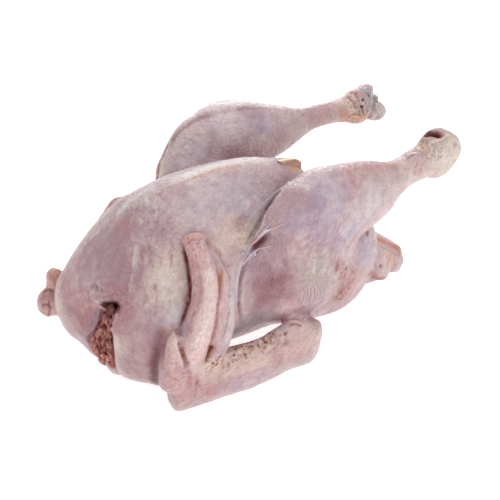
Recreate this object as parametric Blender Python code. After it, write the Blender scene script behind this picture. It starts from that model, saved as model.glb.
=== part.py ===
"""A whole raw turkey, plucked and drawn, lying on its back with its breast up.

Run with: blender --background --python part.py

Units are metres. While it is built the bird faces -X (neck end) with its tail at +X, its near
side at -Y and the table at Z = 0. At the end it is centred on the table under its own box.
"""

import math

import bmesh
import bpy
from mathutils import Matrix, Vector

# Driving sizes of the carcass.
KEEL_HEIGHT = 0.172          # table to the breastbone ridge
BREAST_HALF_WIDTH = 0.087
KNEE_RISE = 0.012            # how much higher the far knee stands than the near one
FORM_VOXEL = 0.0035          # grid that melts the large forms together
DETAIL_VOXEL = 0.0026        # grid that melts the small forms on
MOST_TRIANGLES = 9400
TRUNK_RINGS, TRUNK_SIDES = 60, 56
DOME_SHARE = 0.09            # share of a limb's length that its domed end takes
CUT_SHARE = 0.03             # the same where the limb was cut off straight
FLAT_DEPTH = 0.0022          # how much of the round back is pressed flat by the table

NEAR_HOCK = (0.346, -0.060, 0.152)
FAR_HOCK = (0.361, 0.060, 0.160)

SKIN_COLOUR = (0.62, 0.44, 0.42, 1.0)
SKIN_ROUGHNESS = 0.45


# General helpers

def clear_scene():
    for old in list(bpy.data.objects):
        bpy.data.objects.remove(old, do_unlink=True)


def eased(keys, at):
    """Smooth value at `at` through (position, value) keys, with the slope of a Catmull-Rom curve."""
    if at <= keys[0][0]:
        return keys[0][1]
    if at >= keys[-1][0]:
        return keys[-1][1]
    last = len(keys) - 1
    i = max(k for k in range(last) if keys[k][0] <= at)

    def slope(k):
        before, after = max(k - 1, 0), min(k + 1, last)
        return (keys[after][1] - keys[before][1]) / (keys[after][0] - keys[before][0])

    (x0, y0), (x1, y1) = keys[i], keys[i + 1]
    width = x1 - x0
    t = (at - x0) / width
    return (
        (2 * t**3 - 3 * t**2 + 1) * y0
        + (t**3 - 2 * t**2 + t) * width * slope(i)
        + (-2 * t**3 + 3 * t**2) * y1
        + (t**3 - t**2) * width * slope(i + 1)
    )


def skin_over_rings(name, rings):
    """A closed mesh over rings of equal point count, each end closed by a fan to its centre."""
    bm = bmesh.new()
    loops = [[bm.verts.new(point) for point in ring] for ring in rings]
    count = len(loops[0])
    for first, second in zip(loops, loops[1:]):
        for i in range(count):
            j = (i + 1) % count
            bm.faces.new((first[i], first[j], second[j], second[i]))
    for ring, flip in ((loops[0], True), (loops[-1], False)):
        middle = bm.verts.new(sum((v.co for v in ring), Vector()) / count)
        for i in range(count):
            j = (i + 1) % count
            corners = (ring[j], ring[i], middle) if flip else (ring[i], ring[j], middle)
            bm.faces.new(corners)
    bmesh.ops.recalc_face_normals(bm, faces=bm.faces)
    mesh = bpy.data.meshes.new(name)
    bm.to_mesh(mesh)
    bm.free()
    obj = bpy.data.objects.new(name, mesh)
    bpy.context.collection.objects.link(obj)
    return obj


def limb(name, joints, sizes, dome=DOME_SHARE, sides=24, steps=40):
    """A fleshy tube along a smooth curve through `joints`, closed by domed ends.

    `sizes` are (share of the way, half thickness, half breadth) keys. The thickness lies across
    the bird, the breadth in the plane that the limb runs in. A short dome looks cut off.
    """
    last = len(joints) - 1
    axes = [[(k / last, joint[axis]) for k, joint in enumerate(joints)] for axis in range(3)]
    thickness = [(share, half) for share, half, _ in sizes]
    breadth = [(share, half) for share, _, half in sizes]

    def centre(share):
        return Vector([eased(keys, share) for keys in axes])

    rings = []
    for step in range(steps + 1):
        share = 0.5 - 0.5 * math.cos(math.pi * step / steps)
        share = min(max(share, 0.002), 0.998)
        ahead = (centre(min(share + 0.01, 1.0)) - centre(max(share - 0.01, 0.0))).normalized()
        across = (Vector((0, 1, 0)) - ahead * ahead.y).normalized()
        above = ahead.cross(across)
        from_end = min(share, 1 - share, dome) / dome
        round_off = math.sqrt(1.0 - (1.0 - from_end) ** 2)
        half_thick, half_broad = eased(thickness, share) * round_off, eased(breadth, share) * round_off
        ring = []
        for side in range(sides):
            angle = 2 * math.pi * side / sides
            offset = across * (math.cos(angle) * half_thick) + above * (math.sin(angle) * half_broad)
            ring.append(centre(share) + offset)
        rings.append(ring)
    return skin_over_rings(name, rings)


def ball(name, centre, radii, turn=(0, 0, 0), segments=28, rings=18):
    """An ellipsoid, turned by three angles in degrees."""
    bm = bmesh.new()
    bmesh.ops.create_uvsphere(bm, u_segments=segments, v_segments=rings, radius=1.0)
    bmesh.ops.scale(bm, vec=radii, verts=bm.verts)
    for angle, axis in zip(turn, "XYZ"):
        bmesh.ops.rotate(bm, matrix=Matrix.Rotation(math.radians(angle), 3, axis), verts=bm.verts)
    bmesh.ops.translate(bm, vec=centre, verts=bm.verts)
    mesh = bpy.data.meshes.new(name)
    bm.to_mesh(mesh)
    bm.free()
    obj = bpy.data.objects.new(name, mesh)
    bpy.context.collection.objects.link(obj)
    return obj


def apply_modifiers(obj):
    graph = bpy.context.evaluated_depsgraph_get()
    mesh = bpy.data.meshes.new_from_object(obj.evaluated_get(graph))
    obj.modifiers.clear()
    obj.data = mesh
    return obj


def join(name, forms):
    """Several forms as one object, their shells still overlapping."""
    bm = bmesh.new()
    for form in forms:
        bm.from_mesh(form.data)
    mesh = bpy.data.meshes.new(name)
    bm.to_mesh(mesh)
    bm.free()
    obj = bpy.data.objects.new(name, mesh)
    bpy.context.collection.objects.link(obj)
    for form in forms:
        bpy.data.objects.remove(form, do_unlink=True)
    return obj


def melt(obj, voxel, rounds, factor=0.5):
    """Fuses overlapping shells on a voxel grid, then lets the skin relax over the joins."""
    remesh = obj.modifiers.new("fuse", "REMESH")
    remesh.mode = "VOXEL"
    remesh.voxel_size = voxel
    relax = obj.modifiers.new("relax", "SMOOTH")
    relax.iterations = rounds
    relax.factor = factor
    return apply_modifiers(obj)


def carve(obj, cutters):
    for cutter in cutters:
        cut = obj.modifiers.new("cut_" + cutter.name, "BOOLEAN")
        cut.operation = "DIFFERENCE"
        cut.object = cutter
    apply_modifiers(obj)
    for cutter in cutters:
        bpy.data.objects.remove(cutter, do_unlink=True)
    return obj


# Trunk

def trunk():
    """Breast, back and rump: rings that stand across the bird, high at the keel, narrow at the back."""
    half_width = [(0.003, 0.038), (0.007, 0.056), (0.014, 0.069), (0.028, 0.079), (0.048, 0.085),
                  (0.08, BREAST_HALF_WIDTH), (0.12, 0.081), (0.16, 0.073), (0.20, 0.066), (0.25, 0.054),
                  (0.30, 0.040), (0.330, 0.029), (0.340, 0.020)]
    keel = [(0.003, 0.078), (0.007, 0.090), (0.014, 0.104), (0.03, 0.124), (0.05, 0.146), (0.08, 0.164),
            (0.12, KEEL_HEIGHT), (0.165, KEEL_HEIGHT), (0.20, 0.164), (0.228, 0.153), (0.238, 0.134),
            (0.28, 0.092), (0.32, 0.050), (0.340, 0.034)]
    back = [(0.003, 0.036), (0.008, 0.023), (0.018, 0.012), (0.04, 0.003), (0.09, -0.001), (0.22, -0.001),
            (0.30, 0.004), (0.340, 0.010)]
    widest = [(0.003, 0.056), (0.03, 0.064), (0.10, 0.080), (0.20, 0.080), (0.28, 0.052), (0.340, 0.022)]
    upper_power = [(0.003, 2.0), (0.03, 1.8), (0.06, 1.65), (0.12, 1.5), (0.22, 1.35), (0.26, 1.8),
                   (0.340, 2.0)]
    lower_power = [(0.003, 2.3), (0.05, 2.4), (0.10, 1.5), (0.15, 1.6), (0.185, 1.7), (0.22, 2.8),
                   (0.26, 3.0), (0.30, 2.4), (0.340, 2.0)]
    start, end = half_width[0][0], half_width[-1][0]
    rings = []
    for step in range(TRUNK_RINGS + 1):
        # Rings crowd at the blunt breast end.
        x = start + (end - start) * (step / TRUNK_RINGS) ** 1.5
        wide, top, low, middle = eased(half_width, x), eased(keel, x), eased(back, x), eased(widest, x)
        above, below = eased(upper_power, x), eased(lower_power, x)
        ring = []
        for side in range(TRUNK_SIDES):
            angle = 2 * math.pi * side / TRUNK_SIDES
            across, up = math.cos(angle), math.sin(angle)
            power = above if up >= 0 else below
            y = wide * math.copysign(abs(across) ** (2 / power), across)
            if up >= 0:
                z = middle + (top - middle) * up
            else:
                z = middle - (middle - low) * abs(up) ** (2 / power)
            ring.append((x, y, z))
        rings.append(ring)
    return skin_over_rings("trunk", rings)


def cleft():
    """The wide hollow between the two breast fronts."""
    return [ball("cleft", (-0.010, -0.014, 0.042), (0.037, 0.023, 0.048), turn=(8, 0, 0))]


def breast_fronts():
    """The two rounded fronts of the breast meat on each side of the neck."""
    return [ball("near_front", (0.058, -0.047, 0.050), (0.045, 0.037, 0.0455)),
            ball("far_front", (0.044, 0.046, 0.051), (0.045, 0.040, 0.045))]


def neck_slit():
    """The upright slit at the bottom of the cleft, where the neck was taken off."""
    return [ball("slit", (0.036, -0.012, 0.047), (0.030, 0.0085, 0.034), turn=(8, 6, 0))]


def vent():
    """The opening between the keel's end and the tail, through which the bird was drawn."""
    return [ball("vent", (0.270, 0.0, 0.094), (0.040, 0.027, 0.056), turn=(0, 47, 0))]


def keel_end():
    """The thin skin and gristle past the end of the breastbone."""
    return [limb("keel_end", [(0.175, 0, 0.160), (0.205, 0, 0.156), (0.229, 0, 0.147)],
                 [(0, 0.006, 0.006), (0.5, 0.005, 0.007), (1, 0.0035, 0.009)])]


def neck_stump():
    return [ball("neck_stump", (0.028, -0.009, 0.024), (0.015, 0.011, 0.019), turn=(0, 15, 0))]


# Legs

def leg(side, knee, hock_centre, calf_joints, calf_sizes):
    """Thigh and drumstick. `side` is -1 for the near leg and +1 for the far one."""
    name = "near" if side < 0 else "far"
    rise = knee[2]
    thigh = ball(name + "_thigh", (0.176 + knee[0], side * 0.068, 0.104 + rise / 2),
                 (0.062, 0.031, 0.074 + rise / 2), turn=(-side * 9, 0, side * 3))
    haunch = ball(name + "_haunch", (0.234, side * 0.044, 0.068), (0.054, 0.034, 0.056),
                  turn=(-side * 6, 14, -side * 8))
    calf = limb(name + "_drumstick", calf_joints + [hock_centre], calf_sizes)
    return [thigh, haunch, calf]


def near_leg():
    joints = [(0.168, -0.075, 0.148), (0.215, -0.074, 0.142), (0.262, -0.068, 0.141), (0.302, -0.063, 0.145)]
    sizes = [(0, 0.028, 0.036), (0.25, 0.030, 0.036), (0.5, 0.024, 0.0285), (0.62, 0.018, 0.0200),
             (0.76, 0.0145, 0.0150), (0.9, 0.015, 0.018), (1, 0.016, 0.020)]
    return leg(-1, (0, 0, 0), NEAR_HOCK, joints, sizes)


def far_leg():
    joints = [(0.171, 0.078, 0.157), (0.208, 0.075, 0.158), (0.256, 0.068, 0.156), (0.306, 0.063, 0.161)]
    sizes = [(0, 0.028, 0.034), (0.25, 0.030, 0.037), (0.5, 0.022, 0.026), (0.68, 0.0125, 0.0135),
             (0.80, 0.0125, 0.0120), (0.9, 0.014, 0.015), (1, 0.016, 0.017)]
    return leg(1, (0.004, 0, KNEE_RISE), FAR_HOCK, joints, sizes)


def near_hock():
    """The flared joint where the foot was cut off: a knob with two condyles on its end."""
    x, y, z = NEAR_HOCK
    return [ball("near_hock", NEAR_HOCK, (0.022, 0.018, 0.025)),
            ball("near_inner_condyle", (x + 0.008, y + 0.008, z + 0.006), (0.0136, 0.0099, 0.0155)),
            ball("near_outer_condyle", (x + 0.008, y - 0.008, z + 0.005), (0.0136, 0.0099, 0.0165))]


def far_hock():
    """The other joint, cut through: the skin's cuff, then three knobs of bare gristle."""
    x, y, z = FAR_HOCK
    return [ball("far_hock", (x - 0.009, y, z + 0.001), (0.020, 0.0165, 0.0185)),
            ball("far_upper_knob", (x + 0.003, y + 0.002, z + 0.0125), (0.0115, 0.0105, 0.0095)),
            ball("far_lower_knob", (x + 0.0135, y - 0.002, z - 0.0085), (0.0125, 0.0115, 0.0105)),
            ball("far_middle_knob", (x + 0.0105, y + 0.007, z + 0.002), (0.0100, 0.0090, 0.0090))]


# Wings

def forearm(name, joints, thick):
    """The forearm, deep and flat, with its end cut slanting through the elbow."""
    sizes = [(0, thick, 0.025), (0.3, 0.013, 0.0235), (0.55, 0.012, 0.0225), (0.8, 0.012, 0.0250),
             (1, 0.009, 0.0215)]
    return limb(name, joints, sizes, dome=CUT_SHARE)


def near_wing():
    """Folded flat against the side: forearm along the table, hand standing up against the breast."""
    upper = limb("near_upper_arm", [(0.060, -0.056, 0.028), (0.105, -0.064, 0.012), (0.155, -0.078, 0.014)],
                 [(0, 0.018, 0.020), (0.4, 0.014, 0.012), (1, 0.012, 0.013)])
    fore = forearm("near_forearm", [(0.031, -0.083, 0.027), (0.078, -0.086, 0.024), (0.122, -0.088, 0.022),
                                    (0.158, -0.088, 0.027), (0.184, -0.088, 0.021)], 0.013)
    front = limb("near_hand_front", [(0.044, -0.086, 0.038), (0.054, -0.094, 0.083), (0.066, -0.085, 0.120),
                                     (0.073, -0.057, 0.148)],
                 [(0, 0.013, 0.014), (0.5, 0.009, 0.012), (0.8, 0.007, 0.011), (1, 0.006, 0.0105)],
                 dome=CUT_SHARE)
    rear = limb("near_hand_rear", [(0.062, -0.087, 0.038), (0.074, -0.096, 0.078), (0.081, -0.087, 0.110),
                                   (0.082, -0.066, 0.132)],
                [(0, 0.012, 0.016), (0.5, 0.009, 0.011), (0.8, 0.007, 0.008), (1, 0.005, 0.006)])
    thumb = limb("near_thumb", [(0.034, -0.085, 0.028), (0.030, -0.089, 0.056), (0.031, -0.091, 0.086)],
                 [(0, 0.013, 0.013), (0.5, 0.010, 0.010), (0.8, 0.0055, 0.0060), (1, 0.003, 0.003)])
    return [upper, fore, front, rear, thumb]


def far_wing():
    """The same wing on the far side, held a little forward and clear of the table."""
    upper = limb("far_upper_arm", [(0.055, 0.058, 0.032), (0.10, 0.072, 0.018), (0.150, 0.084, 0.020)],
                 [(0, 0.018, 0.020), (0.4, 0.014, 0.013), (1, 0.012, 0.014)])
    fore = forearm("far_forearm", [(0.022, 0.094, 0.034), (0.070, 0.096, 0.032), (0.118, 0.096, 0.028),
                                   (0.156, 0.093, 0.029), (0.177, 0.092, 0.021)], 0.012)
    front = limb("far_hand_front", [(0.036, 0.094, 0.040), (0.065, 0.093, 0.078), (0.077, 0.082, 0.106),
                                    (0.074, 0.062, 0.127)],
                 [(0, 0.012, 0.012), (0.5, 0.009, 0.011), (0.8, 0.007, 0.010), (1, 0.006, 0.009)],
                 dome=CUT_SHARE)
    rear = limb("far_hand_rear", [(0.055, 0.094, 0.040), (0.083, 0.093, 0.076), (0.092, 0.082, 0.100),
                                  (0.088, 0.062, 0.120)],
                [(0, 0.012, 0.016), (0.5, 0.010, 0.012), (0.8, 0.008, 0.009), (1, 0.005, 0.006)])
    wrist = ball("far_wrist", (0.016, 0.098, 0.032), (0.012, 0.011, 0.015))
    thumb = ball("far_thumb", (0.022, 0.095, 0.056), (0.009, 0.009, 0.012))
    return [upper, fore, front, rear, wrist, thumb]


def tail():
    """The fleshy tail, flattened from above and cut off short."""
    return [limb("tail", [(0.280, 0, 0.044), (0.315, 0, 0.035), (0.349, -0.001, 0.0205)],
                 [(0, 0.036, 0.032), (0.5, 0.031, 0.023), (0.8, 0.028, 0.0180), (1, 0.026, 0.0150)],
                 dome=CUT_SHARE)]


# The whole bird

def rest_on_table(obj):
    """Cuts the underside flat where the bird lies on the table."""
    bm = bmesh.new()
    bm.from_mesh(obj.data)
    lowest = min(v.co.z for v in bm.verts)
    level = lowest + FLAT_DEPTH
    everything = bm.verts[:] + bm.edges[:] + bm.faces[:]
    cut = bmesh.ops.bisect_plane(bm, geom=everything, plane_co=(0, 0, level), plane_no=(0, 0, 1),
                                 dist=1e-6, clear_inner=True)
    edges = [e for e in cut["geom_cut"] if isinstance(e, bmesh.types.BMEdge)]
    bmesh.ops.holes_fill(bm, edges=edges)
    bmesh.ops.recalc_face_normals(bm, faces=bm.faces)
    low = Vector([min(v.co[axis] for v in bm.verts) for axis in range(3)])
    high = Vector([max(v.co[axis] for v in bm.verts) for axis in range(3)])
    shift = Vector((-(low.x + high.x) / 2, -(low.y + high.y) / 2, -low.z))
    bmesh.ops.translate(bm, vec=shift, verts=bm.verts)
    bm.to_mesh(obj.data)
    bm.free()
    print("shift to the table's frame:", tuple(round(v, 5) for v in shift))
    return obj


def skin_material():
    material = bpy.data.materials.new("turkey_skin")
    material.use_nodes = True
    shader = material.node_tree.nodes["Principled BSDF"]
    shader.inputs["Base Color"].default_value = SKIN_COLOUR
    shader.inputs["Roughness"].default_value = SKIN_ROUGHNESS
    shader.inputs["Metallic"].default_value = 0.0
    return material


def build():
    clear_scene()
    body = melt(join("body", [trunk(), *near_leg(), *far_leg()]), FORM_VOXEL, 4)
    carve(body, cleft() + vent())
    body = melt(join("body", [body, *breast_fronts()]), FORM_VOXEL, 8)
    carve(body, neck_slit())
    details = [body, *near_wing(), *far_wing(), *tail(), *keel_end(), *neck_stump()]
    details += near_hock() + far_hock()
    bird = melt(join("turkey", details), DETAIL_VOXEL, 4)
    thin = bird.modifiers.new("fewer_faces", "DECIMATE")
    thin.ratio = MOST_TRIANGLES / (2 * len(bird.data.polygons))
    apply_modifiers(bird)
    rest_on_table(bird)
    bird.data.materials.append(skin_material())
    bird.data.shade_smooth()
    return bird


build()
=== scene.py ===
# %% [markdown]
# # A whole raw turkey
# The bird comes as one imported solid, about 39 cm long, lying on its back with the breast up.
# This lesson dresses it. It copies the solid's form, works the folds of the skin into the copy,
# tints it as fat, muscle and bruised skin show through, adds the pieces that are not skin, such as
# the meat at the neck and the gristle of the joints, and lights it like a studio photograph.

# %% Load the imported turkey
import math
from functools import partial

import bmesh
import bpy
import numpy as np
from mathutils import Euler, Matrix, Vector, kdtree, noise
from mathutils.bvhtree import BVHTree


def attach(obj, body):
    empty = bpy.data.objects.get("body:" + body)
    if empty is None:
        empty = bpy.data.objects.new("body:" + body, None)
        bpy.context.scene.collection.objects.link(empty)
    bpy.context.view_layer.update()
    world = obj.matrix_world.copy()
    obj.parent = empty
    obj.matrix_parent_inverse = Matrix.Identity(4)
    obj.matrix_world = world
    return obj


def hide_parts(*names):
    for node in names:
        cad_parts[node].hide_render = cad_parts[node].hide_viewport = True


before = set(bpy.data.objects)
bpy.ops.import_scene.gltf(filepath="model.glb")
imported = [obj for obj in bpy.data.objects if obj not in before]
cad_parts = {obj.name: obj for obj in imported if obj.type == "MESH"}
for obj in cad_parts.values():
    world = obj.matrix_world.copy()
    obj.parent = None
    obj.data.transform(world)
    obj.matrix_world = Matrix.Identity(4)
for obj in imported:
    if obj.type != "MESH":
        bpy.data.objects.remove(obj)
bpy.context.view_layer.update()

MM = 0.001

# %% [markdown]
# ## The camera
# A bird this size is photographed from about a metre away, so that the near leg doesn't swell.
# The camera comes first, because the folds and tints are later put where they show in the picture:
# a ray through a named spot of the picture meets the skin at that fold.

# %% Camera
PICTURE_SIZE = 500            # the photograph's side, in its own pixels
LENS_MM, SENSOR_MM = 90.0, 36.0
CAMERA_DISTANCE = 1.15
CAMERA_TURN = math.radians(-36.5)
CAMERA_RISE = math.radians(27.0)
LOOKED_AT = Vector((-0.0181, -0.0016, 0.0768))

BACK = Vector((math.sin(CAMERA_TURN) * math.cos(CAMERA_RISE),
               -math.cos(CAMERA_TURN) * math.cos(CAMERA_RISE),
               math.sin(CAMERA_RISE)))
SIDE = Vector((math.cos(CAMERA_TURN), math.sin(CAMERA_TURN), 0.0))
RISE = BACK.cross(SIDE)
EYE = LOOKED_AT + BACK * CAMERA_DISTANCE
PIXEL = SENSOR_MM / LENS_MM / PICTURE_SIZE * CAMERA_DISTANCE    # metres a pixel covers at the bird

camera = bpy.data.objects.new("camera", bpy.data.cameras.new("camera"))
bpy.context.scene.collection.objects.link(camera)
camera.data.lens, camera.data.sensor_width = LENS_MM, SENSOR_MM
camera.data.clip_start = 0.05
camera.location = EYE
camera.rotation_mode = "QUATERNION"
camera.rotation_quaternion = (-BACK).to_track_quat("-Z", "Y")
bpy.context.scene.camera = camera


def sight(across, down):
    """The direction from the eye through a spot of the picture, in pixels from its top left."""
    scale = SENSOR_MM / LENS_MM / PICTURE_SIZE
    middle = PICTURE_SIZE / 2
    return (SIDE * ((across - middle) * scale) + RISE * ((middle - down) * scale) - BACK).normalized()


print("one pixel at the bird is", round(PIXEL / MM, 2), "mm")

# %% [markdown]
# ## The body's form
# Plucked skin lies over muscle and fat, so nothing on it is flat and nothing is sharp.
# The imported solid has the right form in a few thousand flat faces. A subdivision surface would
# pinch where those faces meet, so the copy is rebuilt on an even grid of small squares, which
# also gives the later folds enough points to bend.

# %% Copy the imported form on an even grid
GRID = 3.05 * MM             # a broad muscle needs no finer grid


def new_object(name, mesh):
    made = bpy.data.objects.new(name, mesh)
    bpy.context.scene.collection.objects.link(made)
    return made


def evened(obj, grid):
    """The object's shells fused and rebuilt as squares of one size."""
    fuse = obj.modifiers.new("fuse", "REMESH")
    fuse.mode = "VOXEL"
    fuse.voxel_size = grid
    graph = bpy.context.evaluated_depsgraph_get()
    mesh = bpy.data.meshes.new_from_object(obj.evaluated_get(graph))
    obj.modifiers.clear()
    obj.data = mesh
    return obj


turkey = evened(new_object("turkey_skin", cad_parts["turkey"].data.copy()), GRID)
print("skin:", len(turkey.data.vertices), "points")

# %% [markdown]
# ## A sheet that can be bent and painted
# All the work below is done on arrays: where each point is, how far it is to be lifted, and its
# tint. Averaging each point with its neighbours takes off the grid's faint steps, but it also thins
# the wing and the shanks. Each round of relaxing therefore takes one step inwards and one slightly
# longer step outwards, which smooths and keeps the size.

# %% A sheet of points
SMOOTH_IN, SMOOTH_OUT = 0.5, -0.52


class Sheet:
    """A mesh's points as arrays, with a height and a tint for each that are put on at the end."""

    def __init__(self, mesh):
        self.mesh = mesh
        self.points = np.empty(len(mesh.vertices) * 3)
        mesh.vertices.foreach_get("co", self.points)
        self.points = self.points.reshape(-1, 3)
        self.ends = np.empty(len(mesh.edges) * 2, dtype=np.int64)
        mesh.edges.foreach_get("vertices", self.ends)
        self.ends = self.ends.reshape(-1, 2)
        self.valence = np.bincount(self.ends.ravel(), minlength=len(self.points)).reshape(-1, 1)
        self.height = np.zeros(len(self.points))
        self.tint = np.ones((len(self.points), 3))

    def neighbour_mean(self, values):
        first, second = self.ends.T
        size = len(values)
        sums = [np.bincount(first, column[second], size) + np.bincount(second, column[first], size)
                for column in values.T]
        return np.stack(sums, axis=1) / self.valence

    def relax(self, rounds):
        for _ in range(rounds):
            for step in (SMOOTH_IN, SMOOTH_OUT):
                self.points = self.points + step * (self.neighbour_mean(self.points) - self.points)

    def store(self):
        self.mesh.vertices.foreach_set("co", self.points.ravel())
        self.mesh.update()

    def normals(self):
        self.store()
        found = np.empty(len(self.points) * 3)
        self.mesh.vertex_normals.foreach_get("vector", found)
        return found.reshape(-1, 3)

    def lift(self, height):
        self.height += height

    def wash(self, colour, weight):
        """Mixes a tint over what is there, by a weight for each point, as a painter glazes wax."""
        weight = np.clip(weight, 0, 1)[:, None]
        self.tint = self.tint * (1 - weight) + colour * weight

    def bend(self):
        self.points = self.points + self.normals() * self.height[:, None]
        self.height[:] = 0

    def hollows(self, rounds=2):
        """How hollow the surface is at each point, in mm: above 0 in a groove, below 0 on a ridge."""
        mean = self.points
        for _ in range(rounds):
            mean = self.neighbour_mean(mean)
        return ((mean - self.points) * self.normals()).sum(axis=1) / MM

    def grain(self, size, octaves=2, offset=0.0, upright=1.0):
        """Smooth random values between about -1 and 1, in bumps of a size, some stretched upright."""
        shift = Vector((offset, offset, offset))
        squeezed = self.points * (1, 1, 1 / upright)
        return np.array([noise.fractal(Vector(p) / size + shift, 1.0, 2.0, octaves) for p in squeezed])

    def colour_in(self):
        self.store()
        layer = self.mesh.color_attributes.new("tint", "FLOAT_COLOR", "POINT")
        layer.data.foreach_set("color", np.hstack([self.tint, np.ones((len(self.points), 1))]).ravel())
        self.mesh.shade_smooth()


skin = Sheet(turkey.data)
skin.relax(8)
skin.store()
print("edges of the skin:", len(skin.ends))

# %% [markdown]
# ## Finding places on the skin
# A maker works on the bird where the eye sees each fold. The ray through a spot of the picture
# gives that place in metres, and a line of spots gives a path that lies on the skin. What the
# picture hides is found by mirroring a path to the bird's other side and laying it on the skin.

# %% Spots and paths
STEP = 0.8 * MM              # spacing of the points of a path
NEAREST, FURTHEST = 0.95, 1.40       # metres from the eye between which the whole bird lies


def tree_of(sheet):
    faces = [tuple(face.vertices) for face in sheet.mesh.polygons]
    return BVHTree.FromPolygons([Vector(p) for p in sheet.points], faces)


form = tree_of(skin)


def spot(across, down):
    """The place on the skin behind a spot of the picture, or the nearest one where the ray just misses."""
    ray = sight(across, down)
    hit = form.ray_cast(EYE, ray)[0]
    if hit is None:
        tries = [form.find_nearest(EYE + ray * reach) for reach in np.linspace(NEAREST, FURTHEST, 90)]
        hit = min(tries, key=lambda found: found[3])[0]
    return np.array(hit)


def smooth_way(marks, count):
    """Points on a smooth curve through the marks (Catmull-Rom)."""
    marks = np.array(marks, dtype=float)
    padded = np.vstack([2 * marks[0] - marks[1], marks, 2 * marks[-1] - marks[-2]])
    way = []
    for at in np.linspace(0, len(marks) - 1, count):
        k = min(int(at), len(marks) - 2)
        t = at - k
        a, b, c, d = padded[k:k + 4]
        way.append(0.5 * (2 * b + (c - a) * t + (2 * a - 5 * b + 4 * c - d) * t**2
                          + (3 * b - a - 3 * c + d) * t**3))
    return np.array(way)


def trace(*marks):
    """A path on the skin through marks given in the picture."""
    length = sum(math.dist(a, b) for a, b in zip(marks, marks[1:]))
    return np.array([spot(*mark) for mark in smooth_way(marks, max(int(length * PIXEL / STEP), 3))])


def laid(places):
    """Places in metres, moved to the nearest skin."""
    return np.array([form.find_nearest(Vector(place))[0] for place in np.atleast_2d(places)])


middle_spot = spot(PICTURE_SIZE / 2, PICTURE_SIZE / 2)
print("the ray through the picture's middle meets the skin at, mm:", (middle_spot / MM).round(1))

# %% [markdown]
# ## The bird's other side
# The two sides of the breast mirror each other. The far leg stands a little higher than the near
# one, and the far wing is held lower and further forward, so a fold of either is moved by that
# much before it is laid on the skin.

# %% Mirrored paths
KNEE_RISE = 0.012                      # the far knee's extra height
KNEE_LOW, KNEE_HIGH = 0.06, 0.14       # it sets in from the first height up and is full at the second
ARM_TOP, HAND_LOW = 0.040, 0.080       # the forearm lies below the first height, the hand above the second
FAR_ARM_SHIFT = np.array([-0.008, 0.0, 0.006])
FAR_HAND_SHIFT = np.array([0.009, 0.0, 0.010])
FAR_HAND_SHARE = 0.79                  # the far hand's height as a share of the near one's


def far_breast(path):
    return laid(np.atleast_2d(path) * (1, -1, 1))


def far_leg(path):
    mirrored = np.atleast_2d(path) * (1, -1, 1)
    share = np.clip((mirrored[:, 2] - KNEE_LOW) / (KNEE_HIGH - KNEE_LOW), 0, 1)
    return laid(mirrored + share[:, None] * (KNEE_RISE / 3, 0, KNEE_RISE))


def far_wing(path):
    mirrored = np.atleast_2d(path) * (1, -1, 1)
    share = np.clip((mirrored[:, 2] - ARM_TOP) / (HAND_LOW - ARM_TOP), 0, 1)[:, None]
    on_arm = mirrored + FAR_ARM_SHIFT
    on_hand = mirrored * (1, 1, FAR_HAND_SHARE) + FAR_HAND_SHIFT
    return laid(on_arm * (1 - share) + on_hand * share)


near_tip = spot(194, 240)
print("the far hand's tip lies lower than the near one's by, mm:",
      round((near_tip[2] - far_wing(near_tip)[0][2]) / MM, 1))

# %% [markdown]
# ## Soft forms that give way
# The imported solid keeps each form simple. On the real bird the tail's lower lobe hangs, the rump
# above it is drawn in, the elbow is pressed into the thigh and the far hand is held a little higher.
# Each is pulled with a soft round grip, as a sculptor does, before the finer work begins.

# %% Pull the soft forms
PULLS = [                     # picture spot, radius in mm, then mm across, down and towards the eye
    ((366, 290), 26, -4, -5, 0), ((386, 267), 19, 1, 8, 0), ((392, 271), 11, 5, 1, 0),
    ((398, 247), 9, 2, -1, 0), ((313, 319), 13, 0, 4, -2),
]
FAR_TIP_PULL = (24, 0, -4.5, 0)        # the same for the far hand's tip, which goes a little up


def pull(middle, radius, across, down, towards):
    share = np.clip(np.linalg.norm(skin.points - middle, axis=1) / (radius * MM), 0, 1)
    push = np.array(SIDE) * across - np.array(RISE) * down + np.array(BACK) * towards
    skin.points += MM * push * ((1 - share ** 2) ** 2)[:, None]


for mark, radius, *push in PULLS:
    pull(spot(*mark), radius, *push)
pull(far_wing(near_tip)[0], *FAR_TIP_PULL)
skin.relax(2)
skin.store()
print("pulled", len(PULLS) + 1, "soft forms")

# %% [markdown]
# ## More points where the eye looks closely
# Wings, joints, the neck's slit and the tail have folds of a millimetre or two. Cutting each square
# there into four doubles the detail in those places alone, and leaves the broad muscles light. The
# very finest places, such as the quills' sockets, are cut once more.

# %% Refine the small parts
WING_CLOSE_UPS = [            # picture spot of the middle, radius in mm
    (192, 255, 28), (208, 285, 24), (205, 325, 26), (172, 360, 28), (185, 392, 26), (225, 365, 28),
    (262, 352, 24),
]
LEG_CLOSE_UPS = [(345, 280, 24), (312, 290, 20)]
OTHER_CLOSE_UPS = [           # elbow, slit, hocks, tail, keel's end, web, far wrist and crease
    (300, 338, 24), (98, 335, 32), (110, 308, 24), (437, 150, 33), (367, 105, 30), (385, 258, 28),
    (292, 166, 20), (245, 258, 24), (268, 234, 22), (50, 300, 24), (284, 190, 16), (270, 208, 18),
    (240, 300, 18),
]
FINEST = [                    # the places that are cut once more
    (195, 247, 14), (205, 275, 13), (206, 300, 12), (200, 330, 13), (210, 358, 15), (172, 350, 13),
    (178, 385, 16), (200, 385, 13), (235, 356, 14), (262, 346, 13), (300, 328, 14), (432, 138, 16),
    (425, 155, 13), (370, 103, 16), (105, 318, 17), (98, 342, 14), (386, 245, 15), (344, 270, 12),
    (342, 295, 12), (258, 240, 13), (316, 290, 18), (282, 190, 12), (269, 208, 11),
]


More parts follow.
